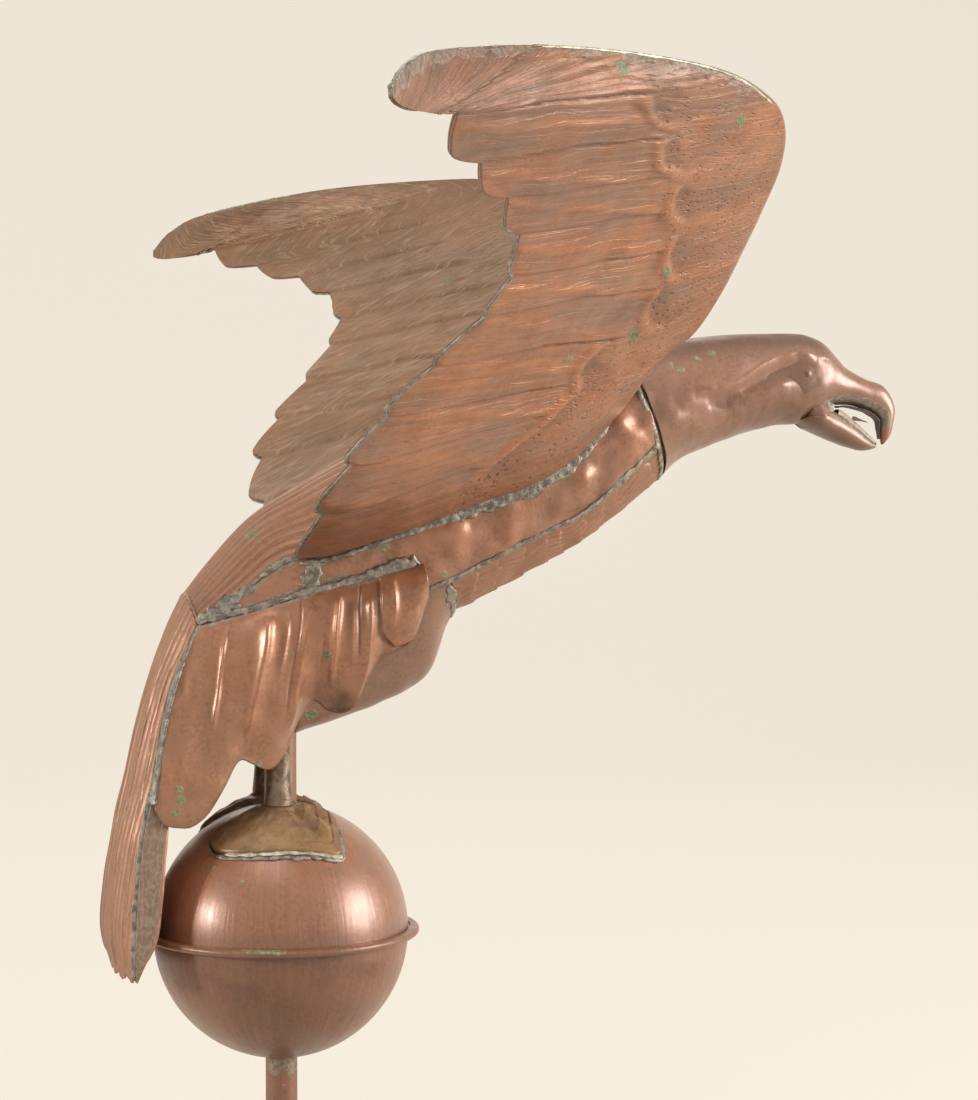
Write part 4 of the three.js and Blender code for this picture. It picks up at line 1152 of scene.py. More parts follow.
def make_jaw():
    h, degrees = grid(70, np.linspace(-90, 270, 97)[:-1])
    place = head_side(JAW)
    base = place(h, degrees)
    points = raised(base, normal_of(place, h, degrees), 0.25 * lumps(base, 7, 61))
    lip = head_section(JAW, h)[0]
    from_lip = np.hypot(base[..., 0] - lip[..., 0], base[..., 2] - lip[..., 1])
    traits = {"grime_and_shade": np.full(h.shape, 0.25), "tin": smooth((6 - from_lip) / 2) * 0.8}
    closed_skin("lower_beak_shell", points, "Head copper", ["lower_beak"], traits)


def lining_place(table, widths, t, v):
    """A place on a strip of the mouth's lining, along it from 0 to 1 and across it from -0.5 to 0.5."""
    row = along(table, t)
    at = head_place(row[..., 0], row[..., 1])
    return xyz(at[..., 0], v * LINING_WIDTH * along(widths, t), at[..., 1])


def make_mouth():
    """The two strips that close the edges of the open beak, and the tongue between them."""
    strips = [
        ("palate_strip", LINING_UPPER, LINING_WIDTHS, "Shaded palate lining"),
        ("jaw_strip", LINING_LOWER, LINING_WIDTHS[::-1], "Lower beak lining"),
    ]
    for node, table, widths, finish in strips:
        points = lining_place(table, widths, *grid(60, np.linspace(-0.5, 0.5, 12)))
        out = unit(np.cross(np.gradient(points, axis=0), np.gradient(points, axis=1)))
        sheet(node, raised(points, out, 0.25 * lumps(points, 4, 66)), out, finish, wall=LINING_WALL)
    root = head_place(*TONGUE_PLACE)
    tilt = Matrix.Rotation(math.radians(TONGUE_TILT), 4, "Y")
    turn = Matrix.Translation((root[0] * MM, 0, (root[1] + BIRD_BASE) * MM)) @ tilt
    shape = [
        (0, 0), (TONGUE_RADIUS, 0), (TONGUE_RADIUS * 0.9, 2), (TONGUE_RADIUS * 0.5, 5.5), (0.25, 9.5),
        (0, TONGUE_LENGTH),
    ]
    spun("tongue_spike", shape, "Leg casting", ["tongue"], 16, place=turn)


# Wings

def root_point(v, lift):
    """Where the wing's root lies on the flank."""
    s = WING_ROOT_END * np.asarray(v, float)
    angle = flank_top(s) + np.degrees(np.asarray(lift) / (TORSO_WIDTH / 2))
    out = normal_of(torso, s, angle)
    point = torso(s, angle)
    return point + turned(out, out[..., 1] * point[..., 1] < 0) * ROOT_GAP


SHOULDER = root_point(0.0, 0.0)
WING_REAR = root_point(1.0, 0.0)
ROWS = len(TRAILING) - 1


def wing_edge(start, table, t):
    row = along(table, t)
    return xyz(row[..., 0] * WING_SWEEP, -row[..., 1] * WING_SPAN, row[..., 2] * WING_RISE) + start


def feather_lobe(t):
    """How far each feather's end stands out past the notches beside it."""
    x = np.maximum(t, 0) * ROWS
    i = np.floor(x).astype(int)
    lobes = np.array(FEATHER_LOBES + [0] * 6, float)
    f = x - i
    rise = np.where(f < LOBE_PEAK, f / LOBE_PEAK, (1 - f) / (1 - LOBE_PEAK))
    curve = np.where(f < LOBE_PEAK, np.sin(rise * np.pi / 2), (np.sin(rise * np.pi / 2) + rise) / 2)
    return FEATHER_LOBE * lobes[np.clip(i, 0, len(lobes) - 1)] * curve


def wing_place(t, v):
    front = wing_edge(SHOULDER, LEADING, t)
    rear = wing_edge(WING_REAR, TRAILING, t)
    chord = np.linalg.norm(front - rear, axis=-1)
    w = v * (1 + feather_lobe(t) / chord)
    point = front + (rear - front) * w[..., None]
    fade = smooth(t / ROOT_BLEND) * np.minimum(chord / WING_SWEEP, 1) ** 2
    slope = unit(rear - front)
    outward = unit(xyz(slope[..., 2], -1, -slope[..., 0]))
    return point + outward * (-WING_CAMBER * 4 * w * (1 - np.minimum(w, 1)) * fade)[..., None]


def wing_normal(t, v):
    n = normal_of(wing_place, t, v)
    return turned(n, n[..., 1] - n[..., 0] < 0)


def wing_face(t, v, lift):
    """One face of the wing, off its middle surface, with its root held on the flank."""
    point = raised(wing_place(t, v), wing_normal(t, v), lift)
    start = raised(wing_place(0 * t, v), wing_normal(0 * t + 0.001, v), lift)
    return raised(point, root_point(v, lift) - start, 1 - smooth(t / ROOT_BLEND))


def wing_lens(t, v):
    """Half the space between the wing's two sheets."""
    return WING_BOW * np.sqrt(np.maximum(v, 0)) * (1 - v) * (1 - WING_THINNING * t) + SEAM_GAP / 2


# Where the coverts end, as a share of the chord, from root to tip
COVERT_END = [0.62, 0.58, 0.44, 0.42, 0.32, 0.33, 0.395, 0.45, 0.45, 0.37, 0.24, 0.12, 0, 0, 0]
ROW_STEPS, CHORD_STEPS = 21, 127
FEATHER_WIDTH = 28.0
RIM_WIDTH, RIDGE_WIDTH = 4.2, 3.4

# The rim of each covert as rows outwards and shares of the chord: from its top, round its end
# and out along its lower side to the leading edge
COVERTS = [
    [[10.2, 0.2], [9.95, 0.315], [9.7, 0.355], [9.42, 0.367], [9.17, 0.34],
     [9.09, 0.287], [9.1, 0.207], [9.14, 0.127]],
    [[9.06, 0.37], [8.82, 0.427], [8.56, 0.44], [8.14, 0.453], [7.8, 0.413],
     [7.73, 0.333], [7.82, 0.24], [7.89, 0.163]],
    [[7.6, 0.403], [7.29, 0.433], [6.9, 0.46], [6.6, 0.41], [6.45, 0.373],
     [6.4, 0.297], [6.3, 0.19], [6.32, 0.107]],
    [[6.3, 0.37], [5.96, 0.4], [5.6, 0.387], [5.19, 0.333], [4.94, 0.297],
     [4.97, 0.227], [5.07, 0.133], [5.09, 0.03]],
    [[5.0, 0.337], [4.57, 0.343], [4.17, 0.317], [3.82, 0.277], [3.72, 0.24],
     [3.71, 0.207], [3.84, 0.113], [3.9, 0.03]],
    [[3.74, 0.4], [3.59, 0.43], [3.39, 0.437], [2.99, 0.42], [2.59, 0.38],
     [1.94, 0.443], [1.55, 0.493], [1.26, 0.53], [1.0, 0.58], [0.4, 0.62]],
]

# The soft ridge of each feather, counted as the feathers are, at three shares of the chord
RIDGE_STATIONS = [0.5, 0.75, 1]
FEATHER_RIDGES = [
    [0.5, 0.82, 1.36], [0.98, 1.62, 2.1], [2.24, 2.72, 3.05], [3.42, 3.68, 4.0], [4.18, 4.54, 4.9],
    [5.0, 5.37, 5.64], [6.13, 6.4, 6.62], [7.05, 7.48, 7.85], [7.88, 8.35, 8.73], [9.45, 9.53, 9.73],
]

# Where each line between two feathers crosses the wing, in rows, at four shares of the chord
LINE_STATIONS = [0, 0.33, 0.65, 1]
FEATHER_LINES = [
    [0, 0, 0, 0], [1.3, 1.15, 1.2, 1], [2.4, 2.07, 2.17, 2], [3.1, 2.83, 3.07, 3],
    [3.87, 3.75, 4.1, 4], [4.82, 4.89, 5.14, 5], [5.7, 5.86, 6.04, 6], [6.5, 6.8, 7.06, 7],
    [7.2, 7.8, 8.01, 8], [8.2, 8.95, 9.2, 9], [9.65, 10.01, 10.25, 10], [11.4, 11.3, 11.2, 11],
    [12.3, 12.2, 12.1, 12], [13.1, 13.1, 13, 13], [14, 14, 14, 14],
]

# Green spots under and on the wing, (x, z) above the ball's centre
LOWER_WING_SPOTS = [
    (112, 469), (200, 459), (185, 388), (179, 355), (137, 340), (132, 487), (92, 500), (62, 497), (45, 492),
]
UPPER_WING_SPOTS = [(200, 440), (150, 400), (60, 380)]


def feather_count(t, v):
    """Counts the feathers outwards, along lines that start at the notches."""
    count = np.empty(t.shape)
    lines = np.array(FEATHER_LINES)
    for j, share in enumerate(v[0]):
        places = [np.interp(share, LINE_STATIONS, line) for line in lines]
        count[:, j] = np.interp(t[:, j] * ROWS, places, np.arange(len(lines)))
    return count


def covert_forms(t, v, chord):
    """The rims of the coverts and the hollows behind them, 0 to 1."""
    rim = np.zeros(t.shape)
    hollow = np.zeros(t.shape)
    place = t * ROWS * FEATHER_WIDTH
    for line in COVERTS:
        path = [(r * FEATHER_WIDTH, part * np.interp(r, t[:, 0] * ROWS, chord[:, 0])) for r, part in line]
        gap, side, share = near_line(place, v * chord, path)
        end = smooth(share / 0.1) * smooth((1.02 - share) / 0.25)
        round_end = 1 - smooth((share - 0.45) / 0.2) * (line is not COVERTS[-1])
        crest = bump(gap + 1.5 * np.where(side > 0, 0, -1), RIM_WIDTH)
        rim = np.maximum(rim, crest * end * (0.5 + 0.5 * round_end))
        behind = np.where(side > 0, smooth((gap - 1) / 4) * np.exp(-gap / 13), 0)
        hollow = np.maximum(hollow, behind * end * (0.35 + 0.65 * round_end))
    return rim, hollow * 1.1


def wing_relief(t, v, base):
    """The relief of the feathers and coverts, and the masks that the finish uses."""
    chord = np.linalg.norm(wing_edge(SHOULDER, LEADING, t) - wing_edge(WING_REAR, TRAILING, t), axis=-1)
    count = feather_count(t, v)
    g = count % 1
    covert = np.maximum(along(COVERT_END, t), 0)
    primary = smooth(((v - covert) * chord - 1) / 12)
    outer = 1 - smooth((count - 10.6) / 0.6)
    crease = bump(np.minimum(g, 1 - g) * FEATHER_WIDTH, 1.3) * (0.3 + 0.7 * smooth((0.8 - v) / 0.2))
    ridge = np.zeros(t.shape)
    for stations in FEATHER_RIDGES:
        off = (count - np.interp(v, RIDGE_STATIONS, stations)) * FEATHER_WIDTH
        ridge = np.maximum(ridge, bump(off, RIDGE_WIDTH))
    ridge *= 0.75 + 0.4 * lumps(base, 30, 70)
    barb = np.sin(g * 2 * np.pi * 5 + 1.6 * lumps(base, 50, 71))
    barb = barb * smooth(lumps(base, 26, 74) + 0.8)
    feather = 0.9 * (0.5 - g) + 1.25 * ridge - 1.1 * crease + 0.3 * barb
    rim, hollow = covert_forms(t, v, chord)
    hatch = 0.22 * np.sin(count * 2 * np.pi * 7 + 2 * lumps(base, 20, 78)) * (1 - primary)
    relief = (feather * primary + hatch) * outer + 0.6 * lumps(base, 17, 72) + 0.22 * lumps(base, 6, 73)
    coverts = (1.6 * rim - 2.0 * hollow) * outer
    masks = {
        "crease": crease * primary, "ridge": ridge * primary, "barb": barb * primary, "rim": rim, "hollow": hollow,
    }
    masks = {label: mask * outer for label, mask in masks.items()}
    return relief + coverts, {**masks, "chord": chord, "primary": primary, "count": count, "coverts": coverts}


def make_wings():
    t, v = grid(ROWS * ROW_STEPS + 1, CHORD_STEPS)
    base = wing_place(t, v)
    row = t * ROWS
    from_tip = (1 - t) * ROWS
    relief, m = wing_relief(t, v, base)
    closing = smooth(from_tip / 0.9)
    lens = wing_lens(t, v) * closing + COPPER_WALL - 0.03 * (1 - closing)
    from_rear = (1 - v) * m["chord"]
    from_front = v * m["chord"]
    margin = smooth(from_front / 5) * smooth(from_rear / 5) * smooth(row / 0.4) * smooth(from_tip / 0.6)
    ragged = rough(base, 10, 75)

    inner = smooth((7.5 - row) / 1.5)
    edge_tin = bump(from_rear, 1.2 + 1.2 * inner) * (0.55 + 0.35 * inner) * smooth(from_tip / 1.6)
    top_band = smooth((22 + 13 * ragged - from_front) / 10) * smooth((row - 8.4) / 1.2)
    top_tin = top_band * (0.62 + 0.28 * lumps(base, 16, 79))
    dull_edge = smooth((17 + 8 * ragged - from_front) / 12) * smooth((t - 0.3) / 0.3)
    outer_darkening = smooth((row - 7.8) / 3)
    # Painted light under the wing: the ridges and covert rims are lightened as painted highlight, and the creases,
    # covert hollows and barb troughs are darkened as painted shade; the outer rows are darker, and the rest is
    # tone and grime.
    weather_and_light = 0.95 * m["ridge"] + 0.9 * m["rim"] + 0.3 * smooth(lumps(base, 40, 76) * 2)
    dirt_and_shade = 0.7 * m["crease"] + 0.75 * m["hollow"] + 0.3 * dull_edge
    dirt_and_shade = dirt_and_shade + 0.25 * smooth(rough(base * [1, 1, 3], 40, 77) * 2)
    dirt_and_shade = dirt_and_shade + 0.15 * smooth(-m["barb"]) + 0.5 * outer_darkening
    pits = 0.55 * (1 - m["primary"]) + 1.1 * m["hollow"] + 0.15 * smooth(lumps(base, 30, 80) * 3)
    barbs = m["primary"] * 0.3 + 0.7
    across = m["count"] * FEATHER_WIDTH
    lower_traits = {
        "rub_and_sheen": (1 - 0.6 * outer_darkening) * held(weather_and_light),
        "grime_and_shade": held(dirt_and_shade) * (1 - 0.8 * m["ridge"]),
        "patina": spots(base, LOWER_WING_SPOTS, 5.0),
        "tin": np.clip(np.maximum(edge_tin, top_tin), 0, 0.95),
        "flow": xyz(across + np.floor(m["count"]) * 57, from_front, 0),
        "barbs": barbs,
        "pitting": held(pits) * smooth(from_front / 8),
    }
    # On the upper sheet, rub lightens the ridges as painted highlight and grime darkens the creases as painted
    # shade.
    upper_traits = {
        "rub_and_sheen": held(0.5 * m["ridge"] + 0.7 * bump(from_rear, 22)),
        "grime_and_shade": held(0.5 * m["crease"] + 0.3 * smooth(ragged * 2) + 0.4 * smooth((50 - from_front) / 40)),
        "patina": spots(base, UPPER_WING_SPOTS, 6) * 0.8,
        "tin": 0.35 * smooth((7 + 5 * ragged - from_front) / 6),
        "flow": xyz(across + from_front * 0.4, from_front, 0),
        "barbs": barbs,
    }
    under = wing_face(t, v, -(lens + relief * margin))
    over = wing_face(t, v, lens + (relief - m["coverts"]) * margin * 0.8)
    out = wing_normal(t, v)
    both_sides("wing_lower", under, -out, "Underwing copper", lower_traits)
    both_sides("wing_upper", over, out, "Upper wing copper", upper_traits)


# Tail

RUMP_TOP = body_section(np.array(1.0))[0]
TAIL_FEATHER_WIDTH = 37
TAIL_RIB_PITCH = 5.2


def tail_line(shares):
    return np.stack([RUMP_TOP[0] + shares[..., 0] * TAIL_SET, RUMP_TOP[1] - shares[..., 1] * TAIL_LENGTH], -1)


def tail_place(t, q):
    middle = tail_line(along(TAIL_MIDDLE, t))
    edge = tail_line(along(TAIL_EDGE, t))
    half = along(TAIL_WIDTHS, t) * TAIL_WIDTH / 2
    flat = xyz(mix(middle[..., 0], edge[..., 0], q**2), half * q, mix(middle[..., 1], edge[..., 1], q**2))
    low = flank_top(1.0)
    arc = torso(np.ones_like(t), mix(90, np.where(q < 0, low, 180 - low), np.abs(q)))
    arc[..., 0] += middle[..., 0] - RUMP_TOP[0] - SEAM_GAP
    arc[..., 2] += middle[..., 1] - RUMP_TOP[1] - SEAM_GAP
    point = arc + (flat - arc) * smooth(t / TAIL_BLEND)[..., None]
    lobe = np.sqrt(np.abs(np.cos(q * TAIL_FEATHERS * np.pi / 2)))
    point[..., 2] -= TAIL_TIP_LOBE * lobe * smooth((t - TAIL_LOBE_START) / (1 - TAIL_LOBE_START))
    return point


def tail_tray(t, q):
    """The sheet that closes the tail underneath, with its sides folded up to the ribbed sheet."""
    reach = np.minimum(np.abs(q) / TAIL_FOLD, 1)
    fold = np.maximum((np.abs(q) - TAIL_FOLD) / (1 - TAIL_FOLD), 0)
    sign = np.where(q < 0, -1.0, 1.0)
    upper = tail_place(t, sign)
    depth = TAIL_DEPTH * along(TAIL_DEPTHS, t)
    point = tail_place(t, sign * reach)
    arch = TAIL_FLAT * (1 - reach)
    x = mix(mix(upper[..., 0], point[..., 0], arch) + depth, upper[..., 0] + COPPER_WALL + FIT_GAP, fold)
    z = mix(upper[..., 2], point[..., 2], arch)
    return xyz(x, point[..., 1], z)


def make_tail():
    t, q = grid(190, np.linspace(-1, 1, 171))
    base = tail_place(t, q)
    out = normal_of(tail_place, t, q)
    across = q * along(TAIL_WIDTHS, t) * TAIL_WIDTH / 2
    ribs = np.sin(across * 2 * np.pi / TAIL_RIB_PITCH + 0.7 * lumps(base, 40, 81))
    feather = (q * TAIL_FEATHERS / 2 + 0.5) % 1
    crease = bump(np.minimum(feather, 1 - feather) * TAIL_FEATHER_WIDTH, 1.4) * smooth((t - 0.1) / 0.2)
    edge = smooth(np.minimum(1 - np.abs(q), 0.08) / 0.05)
    relief = (0.33 * ribs - 0.8 * crease + 0.4 * lumps(base, 20, 82)) * edge
    # Painted light on the tail: rub lightens the rib crests as painted highlight, and grime darkens the troughs
    # and creases as painted shade.
    traits = {
        "rub_and_sheen": smooth(ribs) * 0.4,
        "grime_and_shade": held(smooth(-ribs) * 0.35 + crease * 0.4),
        "tin": bump(1 - np.abs(q), 0.02) * 0.5,
        "flow": xyz(across, t * TAIL_LENGTH, 0),
        "barbs": np.full(t.shape, 0.8),
    }
    sheet("tail_upper", raised(base, out, relief), out, "Tail copper", traits)

    flat = np.linspace(-TAIL_FOLD, TAIL_FOLD, 78)
    turned_up = np.linspace(TAIL_FOLD, 1, 17)[1:]
    t, q = grid(np.linspace(TAIL_LOWER_START, 1, 140), np.concatenate([-turned_up[::-1], flat, turned_up]))
    base = tail_tray(t, q)
    out = -normal_of(tail_tray, t, q)
    side = smooth((np.abs(q) - TAIL_FOLD) / 0.03)
    relief = 0.35 * lumps(base, 14, 86) + 0.3 * side * rough(base, 8, 87)
    traits = {
        "rub_and_sheen": smooth(lumps(base, 25, 88)) * 0.3,
        "grime_and_shade": 0.3 * side,
        "tin": side * 0.9,
        "flow": xyz(q * TAIL_WIDTH / 2, t * TAIL_LENGTH, 0),
        "barbs": np.full(t.shape, 0.4),
    }
    sheet("tail_lower", raised(base, out, relief * smooth((1 - np.abs(q)) / 0.03)), out, "Tail copper", traits)


# Thighs

def thigh_place(u, v):
    s = mix(THIGH_START, THIGH_END, u)
    angle = along(THIGH_TOP, u)
    out = normal_of(torso, s, angle)
    point = torso(s, angle) + turned(out, out[..., 1] > 0) * (LAP_GAP + COPPER_WALL)
    fall = held(v)
    point[..., 0] += THIGH_LEAN * along(THIGH_LEANS, u) * fall
    point[..., 2] -= THIGH_DROP * along(THIGH_DROPS, u) * v
    point[..., 1] -= THIGH_BULGE * np.sin(np.pi * fall**THIGH_SWELL)
    point[..., 1] += THIGH_TUCK * along(THIGH_TUCKS, u) * fall * fall
    point[..., 0] -= THIGH_REAR_BOW * np.sin(np.pi * fall**0.85) * (1 - smooth(u / 0.3))
    return point


# The soft ridges of the thigh's feathers: where across, how wide and high, and from where to where down
THIGH_RIDGES = [
    [0.085, 0.05, 1.3, 0.1, 1.0], [0.168, 0.01, 1.5, 0.02, 0.62], [0.315, 0.034, 3.0, 0.02, 0.9],
    [0.4, 0.018, 1.6, 0.04, 0.5], [0.5, 0.03, 1.0, 0.1, 0.95], [0.587, 0.016, 1.2, 0.35, 0.85],
    [0.64, 0.022, 2.5, 0.03, 0.85], [0.705, 0.016, 0.7, 0.1, 0.7], [0.778, 0.026, 1.9, 0.1, 1.05],
    [0.873, 0.017, 1.4, 0.03, 0.75],
]
# Where the free feather at the front begins, at places down the thigh
FREE_EDGE = [[0, 0.4, 0.66, 0.8, 0.92, 1], [0.812, 0.818, 0.834, 0.855, 0.889, 0.95]]


def thigh_ridges(u, v, base):
    """The ridges and the creases between them, 0 to their height in millimetres."""
    drift = u + 0.006 * np.sin(v * 7 + u * 9) + 0.003 * lumps(base, 14, 95)
    total = np.zeros(u.shape)
    for centre, width, height, start, end in THIGH_RIDGES:
        window = smooth((v - start) / 0.12) * smooth((end - v) / 0.2)
        crest = 0.8 * bump(drift - centre, width) + 0.6 * bump(drift - centre, width * 0.45)
        total = np.maximum(total, height * crest * window)
    creases = bump(drift - 0.732, 0.007) * smooth((0.65 - v) / 0.2)
    creases = creases + 0.7 * bump(drift - 0.46, 0.008) * smooth((0.8 - v) / 0.3)
    return total, creases * smooth(v / 0.05)


def make_thighs():
    u, v = grid(250, 96)
    base = thigh_place(u, v)
    out = -normal_of(thigh_place, u, v)
    ridges, creases = thigh_ridges(u, v, base)
    x, z = side_view(base)
    fall = smooth(v / 0.12) * (0.6 + 0.4 * smooth((1 - v) / 0.2))
    pocket = -3.0 * bump(np.hypot(x - 29, z - 136), 8.0)
    past = u - np.interp(v, *FREE_EDGE)
    free = smooth(past / 0.01)
    gully = bump(past + 0.004, 0.008) * smooth(v / 0.06)
    rear = 1.8 * bump(np.hypot(x + 65, (z - 112) * 0.6), 9)
    relief = ridges * fall * (0.8 + 0.3 * lumps(base, 22, 94)) - 0.8 * creases - 0.8 + 1.3 * free - 0.5 * gully
    relief += pocket + rear + 0.95 * lumps(base, 17, 91) + 0.5 * lumps(base, 8, 92)
    edge = smooth(v / 0.04) * (0.4 + 0.6 * smooth((1 - v) / 0.03))
    # Painted shade: darker in the creases, the pocket and the gully at the free feather's edge, and along the top
    # and bottom edges; rub lightens the ridges as painted highlight.
    dirt_and_shade = creases * 0.5 + bump(v, 0.05) * 0.3 - pocket * 0.28 + gully * 0.75 + bump(1 - v, 0.03) * 0.3
    traits = {
        "rub_and_sheen": smooth(ridges / 3.5) * 0.5 * smooth(v / 0.2),
        "grime_and_shade": held(dirt_and_shade),
        "patina": spots(base, [(20.6, 168), (-67, 79), (-64, 86), (-66, 92), (-19.5, 104), (17, 131)], 4.0) * 0.9,
        "tin": smooth((4 + 4 * rough(base, 7, 96) - v * THIGH_DROP) / 3) * 0.7,
    }
    both_sides("thigh", raised(base, out, relief * edge), out, "Thigh copper", traits)


# Legs, feet and ball

LEG_STAND = math.sqrt(BALL_RADIUS**2 - (LEG_SPACING / 2) ** 2 - LEG_SETBACK**2)
FOOT_TOP = BALL_CENTRE + LEG_STAND + FOOT_ANKLE_HEIGHT
BOSS_RADIUS = LEG_RADIUS + COPPER_WALL
BALL_SIDES, ARC_STEPS = 168, 60
TOE_RIDGES, TOE_STEPS = 7, 3.2


def foot_place(r, turn, top):
    """The upper or lower face of the right foot, from its middle out and round its outline."""
    row = along(FOOT_OUTLINE, turn)
    ahead, out = row[..., 0], row[..., 1]
    x = r * ahead * FOOT_LENGTH - LEG_SETBACK
    y = -r * out * FOOT_LENGTH - LEG_SPACING / 2
    sole = np.sqrt((BALL_RADIUS + FIT_GAP) ** 2 - x**2 - y**2)
    if not top:
        return xyz(x, y, BALL_CENTRE + sole)
    reach = np.hypot(ahead, out) * FOOT_LENGTH
    clear = held((r * reach - BOSS_RADIUS) / np.maximum(reach - BOSS_RADIUS, 1))
    toes = np.cos(2 * np.pi * TOE_RIDGES * turn + 0.4)
    front = smooth((ahead - 0.05) / 0.2)
    ridge = (0.5 + 1.9 * front) * toes * np.sin(np.pi * clear**0.7)
    step = front * 3.0 * (np.floor(clear * TOE_STEPS + 0.3) / TOE_STEPS - clear)
    low = BALL_CENTRE + sole + FOOT_RIM + 1.4
    return xyz(x, y, mix(FOOT_TOP, low, clear**0.36) + ridge + step)


def make_feet():
    r, turn = grid(64, 161)
    top = foot_place(r, turn, True)
    top[..., 2] += (0.9 * lumps(top, 8, 101) + 0.4 * lumps(top, 3, 102)) * smooth((1 - r) * 10) * smooth(r * 8)
    below, round_below = grid(np.linspace(1, 0, 40), 161)
    points = np.concatenate([top, foot_place(below, round_below, False)])
    low = smooth((r - 0.62 + 0.12 * lumps(top, 9, 103)) / 0.12) * bump(((turn - 0.27 + 0.5) % 1) - 0.5, 0.16)
    dirt_and_shade = held(0.5 * smooth(-lumps(top, 7, 104) * 1.5) + bump(r - 0.3, 0.08) * 0.4)
    tin = bump(r - 0.2, 0.05) * smooth(lumps(top, 6, 105) * 2) * 0.8
    traits = {
        "rub_and_sheen": np.concatenate([low, 0 * below]),
        "grime_and_shade": np.concatenate([dirt_and_shade, below]),
        "tin": np.concatenate([tin, 0 * below]),
    }
    for side, flip in SIDES.items():
        skin(f"foot_{side}_casting", points * flip, "Cast brass", [f"foot_{side}"], traits, lift=0)
    foot = FOOT_TOP + FIT_GAP
    profile = [
        (0, foot), (LEG_RADIUS, foot), (LEG_RADIUS * 0.97, foot + 4),
        (LEG_TOP_RADIUS * 1.06, foot + LEG_RISE * 0.3), (LEG_TOP_RADIUS, foot + LEG_RISE * 0.5),
        (LEG_TOP_RADIUS, foot + LEG_RISE), (0, foot + LEG_RISE),
    ]
    for side, flip in SIDES.items():
        place = Matrix.Translation(np.array([-LEG_SETBACK, -LEG_SPACING / 2, 0]) * flip * MM)
        spun(f"leg_{side}_casting", profile, "Leg casting", [f"leg_{side}"], 48, place=place)


def half_ball(side):
    """The profile of the upper half, where side is 1, or of the lower one, where it is -1."""
    low, high = SEAM_GAP / 2, SEAM_GAP / 2 + FLANGE_THICKNESS

    def arc(radius, end):
        start = math.asin((TUBE_RADIUS + FIT_GAP) / radius)
        stop = math.pi / 2 - math.asin(end / radius)
        return [
            (radius * math.sin(a), BALL_CENTRE + side * radius * math.cos(a))
            for a in np.linspace(start, stop, ARC_STEPS)
        ]

    outer = arc(BALL_RADIUS, high)
    inner = arc(BALL_RADIUS - BALL_WALL, low)[::-1]
    flange = [(BALL_RADIUS + FLANGE_WIDTH, BALL_CENTRE + side * z) for z in (high, low)]
    return outer + flange + inner + [outer[0]]


# Green spots on the ball and its bead, (x, z) from the ball's centre
BALL_SPOTS = [
    (-9, 15), (-7, -1), (16, 4), (-16, 4), (41, -5), (43, -12), (50, 0), (-31, 40), (-45, 45), (47, 2),
    (-20, -12),
]
BEAD_SPOTS = [(-28, 3), (-23, 2), (-17, 2), (-11, 1), (-31, 3)]


def make_ball():
    def upper_marks(points):
        high = points[:, 2] - BALL_CENTRE
        return {
            "patina": spots(points - [0, 0, BIRD_BASE], BALL_SPOTS, 1.9) * 0.85,
            "tin": bump(high - 70, 3) * 0.5,
            "grime_and_shade": 0.35 * bump(high - 6, 5) + 0.25 * smooth(lumps(points, 34, 111)),
        }

    def lower_marks(points):
        high = points[:, 2] - BALL_CENTRE
        smear = smooth(rough(points * [1, 1, 2], 30, 112) + 0.2) * bump(high + 16, 14)
        return {
            "tin": bump(high + BALL_RADIUS * 0.985, 2.5) * 0.7,
            "grime_and_shade": held(0.7 * smear + 0.3 * smooth(lumps(points, 30, 113))),
        }

    def bead_marks(points):
        line = spots(points - [0, 0, BIRD_BASE], BEAD_SPOTS, 3.0)
        return {"patina": line * 0.9, "grime_and_shade": 0.3 * smooth(lumps(points, 20, 114))}

    spun("ball_upper_half", half_ball(1), "Ball copper", ["ball_upper"], BALL_SIDES, traits=upper_marks)
    spun("ball_lower_half", half_ball(-1), "Shaded ball copper", ["ball_lower"], BALL_SIDES, traits=lower_marks)
    slot = SEAM_GAP / 2 + FLANGE_THICKNESS + FIT_GAP
    middle = BALL_RADIUS + FLANGE_WIDTH + FIT_GAP + BEAD_WALL
    lip = middle - BEAD_RADIUS * 2
    bend = slot + BEAD_WALL
    roll = [
        (middle - BEAD_RADIUS / 2 + BEAD_RADIUS * math.cos(a), bend * math.sin(a))
        for a in np.linspace(math.pi / 2, -math.pi / 2, 13)
    ]
    inside = middle - BEAD_WALL
    groove = [(lip, -slot), (inside, -slot), (inside, slot), (lip, slot)]
    profile = [(r, BALL_CENTRE + z) for r, z in [(lip, slot), (lip, bend), *roll, (lip, -bend), *groove]]
    spun("ball_bead_roll", profile, "Shaded ball copper", ["ball_bead"], BALL_SIDES, traits=bead_marks)


def make_tube():
    inner = TUBE_RADIUS - TUBE_WALL
    profile = [(inner, TUBE_BOTTOM)] + [(TUBE_RADIUS, z) for z in np.linspace(TUBE_BOTTOM, TUBE_TOP, 120)]
    profile += [(inner, TUBE_TOP), (inner, TUBE_BOTTOM)]

    def marks(points):
        from_ball = np.abs(points[:, 2] - BALL_CENTRE + BALL_RADIUS)
        under_ball = smooth((14 + 8 * lumps(points, 5, 121) - from_ball) / 5)
        return {"tin": under_ball * 0.6, "grime_and_shade": 0.3 * smooth(lumps(points, 18, 122))}

    spun("vane_tube_long", profile, "Tube copper", ["vane_tube"], 64, traits=marks)


